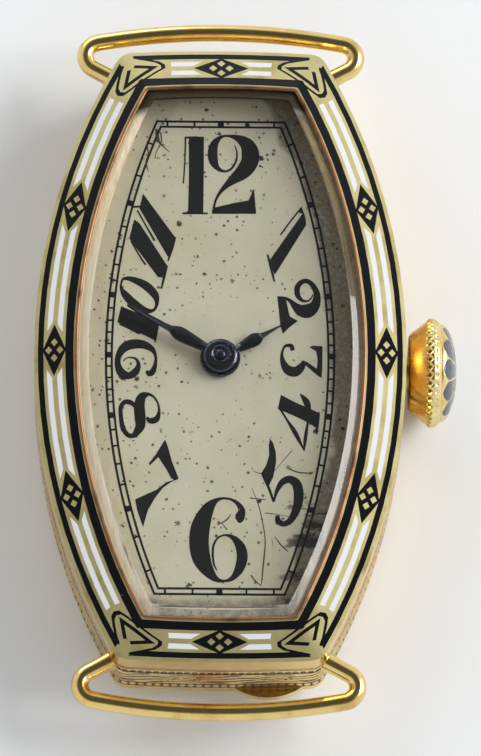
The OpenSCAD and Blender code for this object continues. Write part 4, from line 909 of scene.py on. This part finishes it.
def lug(name, node, side):
    """A bent wire hoop whose ends swell where they are soldered to the case."""
    low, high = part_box(node)
    z = (low.z + high.z) / 2
    reach = (high.y if side > 0 else -low.y) - WIRE_R
    bend_x = LUG_HALF_W - LUG_BEND_R
    bow_r = (bend_x ** 2 + LUG_BOW ** 2) / (2 * LUG_BOW)
    bow_a = math.asin(bend_x / (bow_r - LUG_BEND_R))
    bend = Vector((bend_x, reach - bow_r + (bow_r - LUG_BEND_R) * math.cos(bow_a)))
    corner_r = CORNER_R - BAND_INSET
    corner_y = CASE_L / 2 - BAND_INSET - corner_r
    corner_x = flank_x(FLANK_R - BAND_INSET - corner_r, corner_y)
    foot = Vector((corner_x + LUG_FOOT_X, corner_y + LUG_FOOT_Y))
    gap = bend - foot
    leg_a = math.atan2(gap.y, gap.x) - math.asin(LUG_BEND_R / gap.length)
    leg = Vector((math.cos(leg_a), math.sin(leg_a)))
    leg_l = math.sqrt(gap.length_squared - LUG_BEND_R ** 2)
    half = [foot + leg * (leg_l * k / LEG_STEPS - FOOT_SUNK * (1 - k / LEG_STEPS)) for k in range(LEG_STEPS)]
    a0, a1 = leg_a - math.pi / 2, math.pi / 2 - bow_a
    half += [bend + LUG_BEND_R * Vector((math.cos(a), math.sin(a)))
             for a in (a0 + (a1 - a0) * k / BEND_STEPS for k in range(BEND_STEPS))]
    half += [bow_r * Vector((math.sin(a), math.cos(a))) + Vector((0, reach - bow_r))
             for a in (bow_a * (1 - k / BAR_STEPS) for k in range(BAR_STEPS + 1))]
    points = half + [Vector((-p.x, p.y)) for p in half[-2::-1]]
    path = [Vector((p.x, p.y * side, z)) for p in points]
    travelled = [0.0]
    for before, point in zip(path, path[1:]):
        travelled.append(travelled[-1] + (point - before).length)
    from_foot = [min(s, travelled[-1] - s) for s in travelled]
    radii = [WIRE_R * (1 + SOLDER_SWELL * math.exp(-s / SOLDER_REACH)) for s in from_foot]
    bm = bmesh.new()
    wire(bm, path, radii, WIRE_SIDES)
    piece(name, bm, "case", "gold_case", YELLOW_GOLD, replaces=[node])


lug("lug_wire_12", "lug_top", 1)
lug("lug_wire_6", "lug_bottom", -1)


# Engraved band. Repeats along it:
SCALLOP_L = 0.37 * MM
BEAD_L = 0.4 * MM
SPINDLE_L = 4.4 * MM
# Heights on it, from 0 at its lower edge to 1 at its upper edge
UPPER_LINES = (0.965, 0.915)
LINE_HALF = 0.018
ARCH_H, ARCH_RISE, ARCH_LINE_HALF = 0.7, 0.13, 0.03
FIELD = (0.26, 0.69)
FIELD_H, FIELD_HALF_H = 0.475, 0.2
LOWER_LINE, LOWER_LINE_HALF = 0.23, 0.015
BEADS_H, BEADS_HALF_H = 0.125, 0.075
# Depths, as shares of the relief
LINE_CUT, ARCH_CUT, UNDER_ARCH, FIELD_CUT, BEAD_FOOT = 0.8, 0.9, 0.6, 0.75, 0.25
# Cuts across a spindle, their sweep along it, and the hatching around it
VEINS, VEIN_SWEEP, HATCHING, HATCH_SPREAD = 9.0, 2.2, 46.0, 1.5
# The skin's mesh, how far its edge rows are sunk, and how far its cuts' floors stand off the band
ENGRAVED_COLUMNS = 2500
ENGRAVED_ROWS = 36
RELIEF = 0.045 * MM
SKIN_ROOT = 0.03 * MM
SKIN_LIFT = 0.004 * MM


def ridge(value, centre, half):
    """1 at the centre, falling to 0 at half a width from it."""
    return max(0.0, 1 - abs(value - centre) / half)


def engraving(s, h):
    """Relief of the band, from 0 to 1, at a distance s along it and at a height h on it."""
    level = 1 - LINE_CUT * sum(ridge(h, line, LINE_HALF) for line in UPPER_LINES)
    phase = abs((s / SCALLOP_L) % 1 - 0.5) * 2
    arch = ARCH_H + ARCH_RISE * math.sqrt(max(0.0, 1 - phase * phase))
    level -= ARCH_CUT * ridge(h, arch, ARCH_LINE_HALF)
    if ARCH_H < h < arch - ARCH_LINE_HALF:
        level -= UNDER_ARCH
    across = abs((s / BEAD_L) % 1 - 0.5) * 2
    round_h = (h - BEADS_H) / BEADS_HALF_H
    if abs(round_h) < 1:
        dome = math.sqrt(max(0.0, 1 - across * across - round_h * round_h))
        level = min(level, BEAD_FOOT + (1 - BEAD_FOOT) * dome)
    level -= LINE_CUT * ridge(h, LOWER_LINE, LOWER_LINE_HALF)
    if FIELD[0] < h < FIELD[1]:
        along = (s / SPINDLE_L) % 1
        lens = FIELD_HALF_H * math.sin(math.pi * along)
        off = (h - FIELD_H) / max(lens, 0.01)
        if abs(off) < 1:
            cut = math.sin(VEINS * off + VEIN_SWEEP * math.sin(2 * math.pi * along))
        else:
            cut = math.sin(HATCHING * (h - FIELD_H) * (1 + HATCH_SPREAD * abs(along - 0.5)))
        level -= FIELD_CUT * max(0.0, cut)
    return max(0.0, level)


def engraved_gold():
    """Gold whose cuts are dark with age."""
    mat, tree, shader = material("engraved gold")
    worn = use(
        tree, WORN_METAL, Clean=rgb(240, 212, 146), Dull=rgb(206, 150, 84), Roughness=0.16, Scratches=0.3,
    )
    cut = tree.nodes.new("ShaderNodeAttribute")
    cut.attribute_name = "cut"
    depth = rise_between(tree, cut.outputs["Fac"], 0.12, 0.6)
    shade(
        tree, shader, Base_Color=mix_colour(tree, depth, worn["Color"], rgb(58, 34, 18)),
        Metallic=scaled(tree, depth, -0.5, 1.0),
        Roughness=scaled(tree, depth, 0.3, worn["Roughness"]), Normal=worn["Normal"],
    )
    return mat


def band_skin():
    """The engraved skin of the band, whose first and last rows are sunk into the band."""
    ring, length = evenly(case_outline(BAND_INSET), ENGRAVED_COLUMNS)
    height = BAND_Z1 - BAND_Z0
    bm = bmesh.new()
    cut = bm.verts.layers.float.new("cut")
    rows, depths = [], []
    for row in range(-1, ENGRAVED_ROWS + 2):
        h = min(max(row / ENGRAVED_ROWS, 0.0), 1.0)
        sunk = row in (-1, ENGRAVED_ROWS + 1)
        levels = [0.0] * ENGRAVED_COLUMNS
        if 0 < h < 1:
            levels = [engraving(length * k / ENGRAVED_COLUMNS, h) for k in range(ENGRAVED_COLUMNS)]
        places = []
        for level, (point, outward) in zip(levels, ring):
            place = point + outward * (-SKIN_ROOT if sunk else RELIEF * level + SKIN_LIFT)
            places.append((place.x, place.y, BAND_Z0 + height * h))
        rows.append(places)
        depths.append(levels)
    for (verts, _), levels in zip(sheet(bm, rows + rows[:1]), depths + depths[:1]):
        for vert, level in zip(verts, levels):
            vert[cut] = 1 - level
    weld(bm)
    piece("band_engraving", bm, "case", "gold_case", engraved_gold())


band_skin()


# Crystal
GLASS_FIT = 0.02 * MM
GROUND_W = 0.52 * MM
GLASS_T = 0.35 * MM
FLAT_RIM = 0.02 * MM
EDGE_T = 0.2 * MM


def crystal_sheet():
    """The crystal as a sheet of even thickness, ground to a bevel all round."""
    low, high = (corner.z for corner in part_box("crystal"))
    edge, flat = BEZEL_W + GLASS_FIT, BEZEL_W + GROUND_W
    inner = flat + FLAT_RIM
    shoulder = high - GLASS_T
    section = ((inner, high), (flat, high), (edge, shoulder), (edge, low))
    under = ((edge + EDGE_T, low), (flat, shoulder), (inner, shoulder))
    bm = bmesh.new()
    made = sheet(bm, [[(x, y, z) for x, y in case_outline(inset)] for inset, z in section + under])
    for _, faces in made[:len(section) + 1]:
        for face in faces:
            face.material_index = 1
    for face in close_ends(bm):
        face.material_index = 0
    piece("crystal_glass", bm, "bezel", "crystal", materials["crystal"], glass("ground bevel", ground=True),
          smooth=False, replaces=["crystal"])


crystal_sheet()


# Bezel mouldings
BEAD_SIDES, BEAD_STEPS = 10, 500
LINE_INSETS = (1.5 * MM, 1.9 * MM)
LINE_LIFT = 0.008 * MM
# The outline's points that run round its first corner, with a few on either side
ROUND_CORNER = slice(FLANK_STEPS - 2, FLANK_STEPS + CORNER_STEPS + 4)


def line_corners():
    """Lets the inner black line run on round the bezel's corners."""
    bm = bmesh.new()
    for sx, sy in ((-1, -1), (-1, 1), (1, -1), (1, 1)):
        rows = []
        for inset in LINE_INSETS:
            z = FACE_Z + BEZEL_RISE * inset / BEZEL_W + LINE_LIFT
            rows.append([(sx * x, sy * y, z) for x, y in case_outline(inset)[ROUND_CORNER]])
        sheet(bm, rows, closed=False)
    ink("enamel_corners", bm, "bezel", materials["black_enamel"])


line_corners()


def bezel_bead(name, inset, lift, radius, mat):
    """A thin bead that follows the bezel's outline."""
    z = FACE_Z + BEZEL_RISE * inset / BEZEL_W + lift
    ring, _ = evenly(case_outline(inset), BEAD_STEPS)
    bm = bmesh.new()
    turns = [2 * math.pi * k / BEAD_SIDES for k in range(BEAD_SIDES)] + [0.0]
    sheet(bm, [
        [(*(p + n * radius * math.cos(a)), z + radius * math.sin(a)) for p, n in ring] for a in turns
    ])
    weld(bm)
    piece(name, bm, "bezel", "gold_case", mat)


bezel_bead(
    "bezel_inner_bead", inset=BEZEL_W - 0.06 * MM, lift=-0.04 * MM, radius=0.1 * MM, mat=ROSE_GOLD,
)
bezel_bead(
    "bezel_lower_bead", inset=0.06 * MM, lift=-BEZEL_SIDE_H + 0.14 * MM, radius=0.06 * MM, mat=YELLOW_GOLD,
)


# Crown
CROWN_LOBES, LOBE_STEPS = 40, 10
CROWN_PETALS, PETAL_STEPS = 12, 32
CROWN_X0, CROWN_X1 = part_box("crown")[0].x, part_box("crown_enamel")[1].x
RING_X0, RING_X1 = CROWN_X0 + 0.87 * MM, CROWN_X0 + 1.56 * MM
BORE_R = 0.85 * MM
FLANGE_R, FLANGE_FLARE = 1.8 * MM, 0.7 * MM
FLANGE_STEPS, RING_STEPS = 10, 26
BLANK_R = 2.5 * MM
RING_EDGE_R = 2.34 * MM
# The ring's largest radius, where along the ring it lies, and how much is lost towards the case and outwards
RING_R, WIDEST, INWARD_LOSS, OUTWARD_LOSS = 2.68 * MM, 0.3, 0.14 * MM, 0.3 * MM
NOTCH_DEPTH = 0.28 * MM
# Each row of notches: its place along the ring, its length and its share of the depth
NOTCH_ROWS = ((0.06, 0.22, 1.0), (0.62, 0.08, 0.35))
DOME_R = 2.38 * MM
DOME_STEPS = 60
DOME_INSET = 0.02 * MM
WEB_HALF_W = 0.045 * MM
WEB_RISE = 0.015 * MM
# Shares of the dome's radius: the gold hub, where the petals' round ends begin, and how long these are
HUB_SHARE, ROUND_SHARE, ROUND_LENGTH = 0.12, 0.88, 0.115


def ring_radius(x, angle):
    """Radius of the crown's ring, with its two rows of notches."""
    t = (x - RING_X0) / (RING_X1 - RING_X0)
    body = RING_R - OUTWARD_LOSS * (max(0.0, t - WIDEST) / (1 - WIDEST)) ** 2
    body -= INWARD_LOSS * (max(0.0, WIDEST - t) / WIDEST) ** 2
    wave = abs(math.cos(angle * CROWN_LOBES / 2))
    valley = (1 - wave) ** 1.1
    row = max(share * math.exp(-((t - place) / length) ** 2) for place, length, share in NOTCH_ROWS)
    return body - NOTCH_DEPTH * valley * row


def crown_metal():
    """The crown's conical flange and its notched ring, spun about the stem."""
    flange = [(CROWN_X0 + (RING_X0 - CROWN_X0) * t, FLANGE_R + FLANGE_FLARE * t ** 0.85)
              for t in (k / FLANGE_STEPS for k in range(FLANGE_STEPS + 1))]
    ring_xs = [RING_X0 + (RING_X1 - RING_X0) * k / RING_STEPS for k in range(1, RING_STEPS + 1)]
    profile = [(CROWN_X0, BORE_R)] + flange + [(x, BLANK_R) for x in ring_xs]
    profile += [(RING_X1, RING_EDGE_R), (RING_X1, BORE_R), (CROWN_X0, BORE_R)]
    bm = bmesh.new()
    turned(bm, [(x, 0, STEM_Z + r) for x, r in profile], (0, 0, STEM_Z), (1, 0, 0), CROWN_LOBES * LOBE_STEPS)
    for vert in bm.verts:
        spoke = Vector((vert.co.y, vert.co.z - STEM_Z))
        if vert.co.x > RING_X0 + HAIR and spoke.length > BLANK_R - 10 * HAIR:
            spoke *= ring_radius(vert.co.x, math.atan2(spoke.y, spoke.x)) / spoke.length
            vert.co.yz = spoke.x, spoke.y + STEM_Z
    for face in bm.faces:
        face.material_index = 1 if face.calc_center_median().x < RING_X0 else 0
    piece("crown_shell", bm, "crown", "gold_case", PALE_GOLD, ORANGE_GOLD, replaces=["crown"])


def crown_dome():
    """The enamelled dome, spun about the stem: petals of slate enamel a little below gold webs."""
    rim_x = RING_X1 - DOME_INSET
    height = CROWN_X1 - rim_x - DOME_INSET
    step = 2 * math.pi / CROWN_PETALS

    def web(point):
        """Whether gold shows there: a petal narrows to the centre and is round at the rim."""
        y, z = point.y, point.z - STEM_Z
        share = math.hypot(y, z) / DOME_R
        off = abs(math.atan2(z, y) % step - step / 2)
        end = math.sqrt(max(0.0, 1 - (max(0.0, share - ROUND_SHARE) / ROUND_LENGTH) ** 2))
        return share < HUB_SHARE or off > (step / 2 - WEB_HALF_W / (share * DOME_R)) * end

    turns = [math.pi / 2 * k / DOME_STEPS for k in range(DOME_STEPS + 1)]
    bm = bmesh.new()
    profile = [(rim_x + height * math.sin(a), 0, STEM_Z + DOME_R * math.cos(a)) for a in turns]
    turned(bm, [(rim_x, 0, STEM_Z)] + profile, (0, 0, STEM_Z), (1, 0, 0), CROWN_PETALS * PETAL_STEPS)
    for face in bm.faces:
        face.material_index = 1 if web(face.calc_center_median()) else 0
    for vert in bm.verts:
        if vert.co.x > rim_x + HAIR and web(vert.co):
            vert.co.x += WEB_RISE
    piece("crown_petals", bm, "crown", "crown_enamel", materials["crown_enamel"], PALE_GOLD,
          replaces=["crown_enamel"])


crown_metal()
crown_dome()


# Floor, light and camera
PAPER_SIZE = 1.5
SENSOR_MM = 36.0


def paper_material():
    mat, tree, shader = material("white paper")
    tone = mix_colour(tree, noise(tree, 60.0, 3.0), rgb(242, 243, 244), rgb(248, 249, 250))
    fibres = bump(tree, noise(tree, 2500.0, 3.0), 0.12, 0.02 * MM)
    shade(tree, shader, Base_Color=tone, Roughness=0.9, Normal=fibres)
    return mat


def floor():
    bm = bmesh.new()
    bmesh.ops.create_grid(bm, x_segments=1, y_segments=1, size=PAPER_SIZE)
    mesh = bpy.data.meshes.new("paper")
    bm.to_mesh(mesh)
    bm.free()
    obj = placed("paper", mesh)
    dress(obj, paper_material())


def lamp(name, place, width, height, watts):
    """A rectangular lamp that faces the watch."""
    data = bpy.data.lights.new(name, "AREA")
    data.shape = "RECTANGLE"
    data.size, data.size_y = width, height
    data.energy = watts
    obj = placed(name, data)
    obj.location = place
    obj.rotation_euler = (-Vector(place)).to_track_quat("-Z", "Y").to_euler()


def lights():
    """A soft lamp from the right, a weak one from the back left, and a room that is dark overhead."""
    lamp("window", (0.5, 0.12, 0.32), width=0.35, height=0.35, watts=3.0)
    lamp("back", (-0.2, 0.55, 0.25), width=0.4, height=0.25, watts=0.8)
    world = bpy.data.worlds.new("studio")
    bpy.context.scene.world = world
    world.use_nodes = True
    tree = world.node_tree
    direction = axes(tree, tree.nodes.new("ShaderNodeTexCoord").outputs["Generated"])
    overhead = rise_between(tree, direction[2], 0.62, 0.9)
    background = tree.nodes["Background"]
    plug(tree, background.inputs[0], mix_colour(tree, overhead, rgb(249, 252, 255), rgb(90, 90, 88)))
    background.inputs[1].default_value = 0.84


def camera():
    eye, right, up, away = view_frame()
    data = bpy.data.cameras.new("camera")
    data.sensor_fit = "HORIZONTAL"
    data.sensor_width = SENSOR_MM
    data.lens = SENSOR_MM * DISTANCE / WIDTH_SEEN
    data.clip_start = 0.01
    obj = placed("camera", data)
    obj.matrix_world = Matrix.Translation(eye) @ Matrix((right, up, away)).transposed().to_4x4()
    bpy.context.scene.camera = obj


floor()
lights()
camera()
bpy.context.scene.view_settings.view_transform = "Standard"
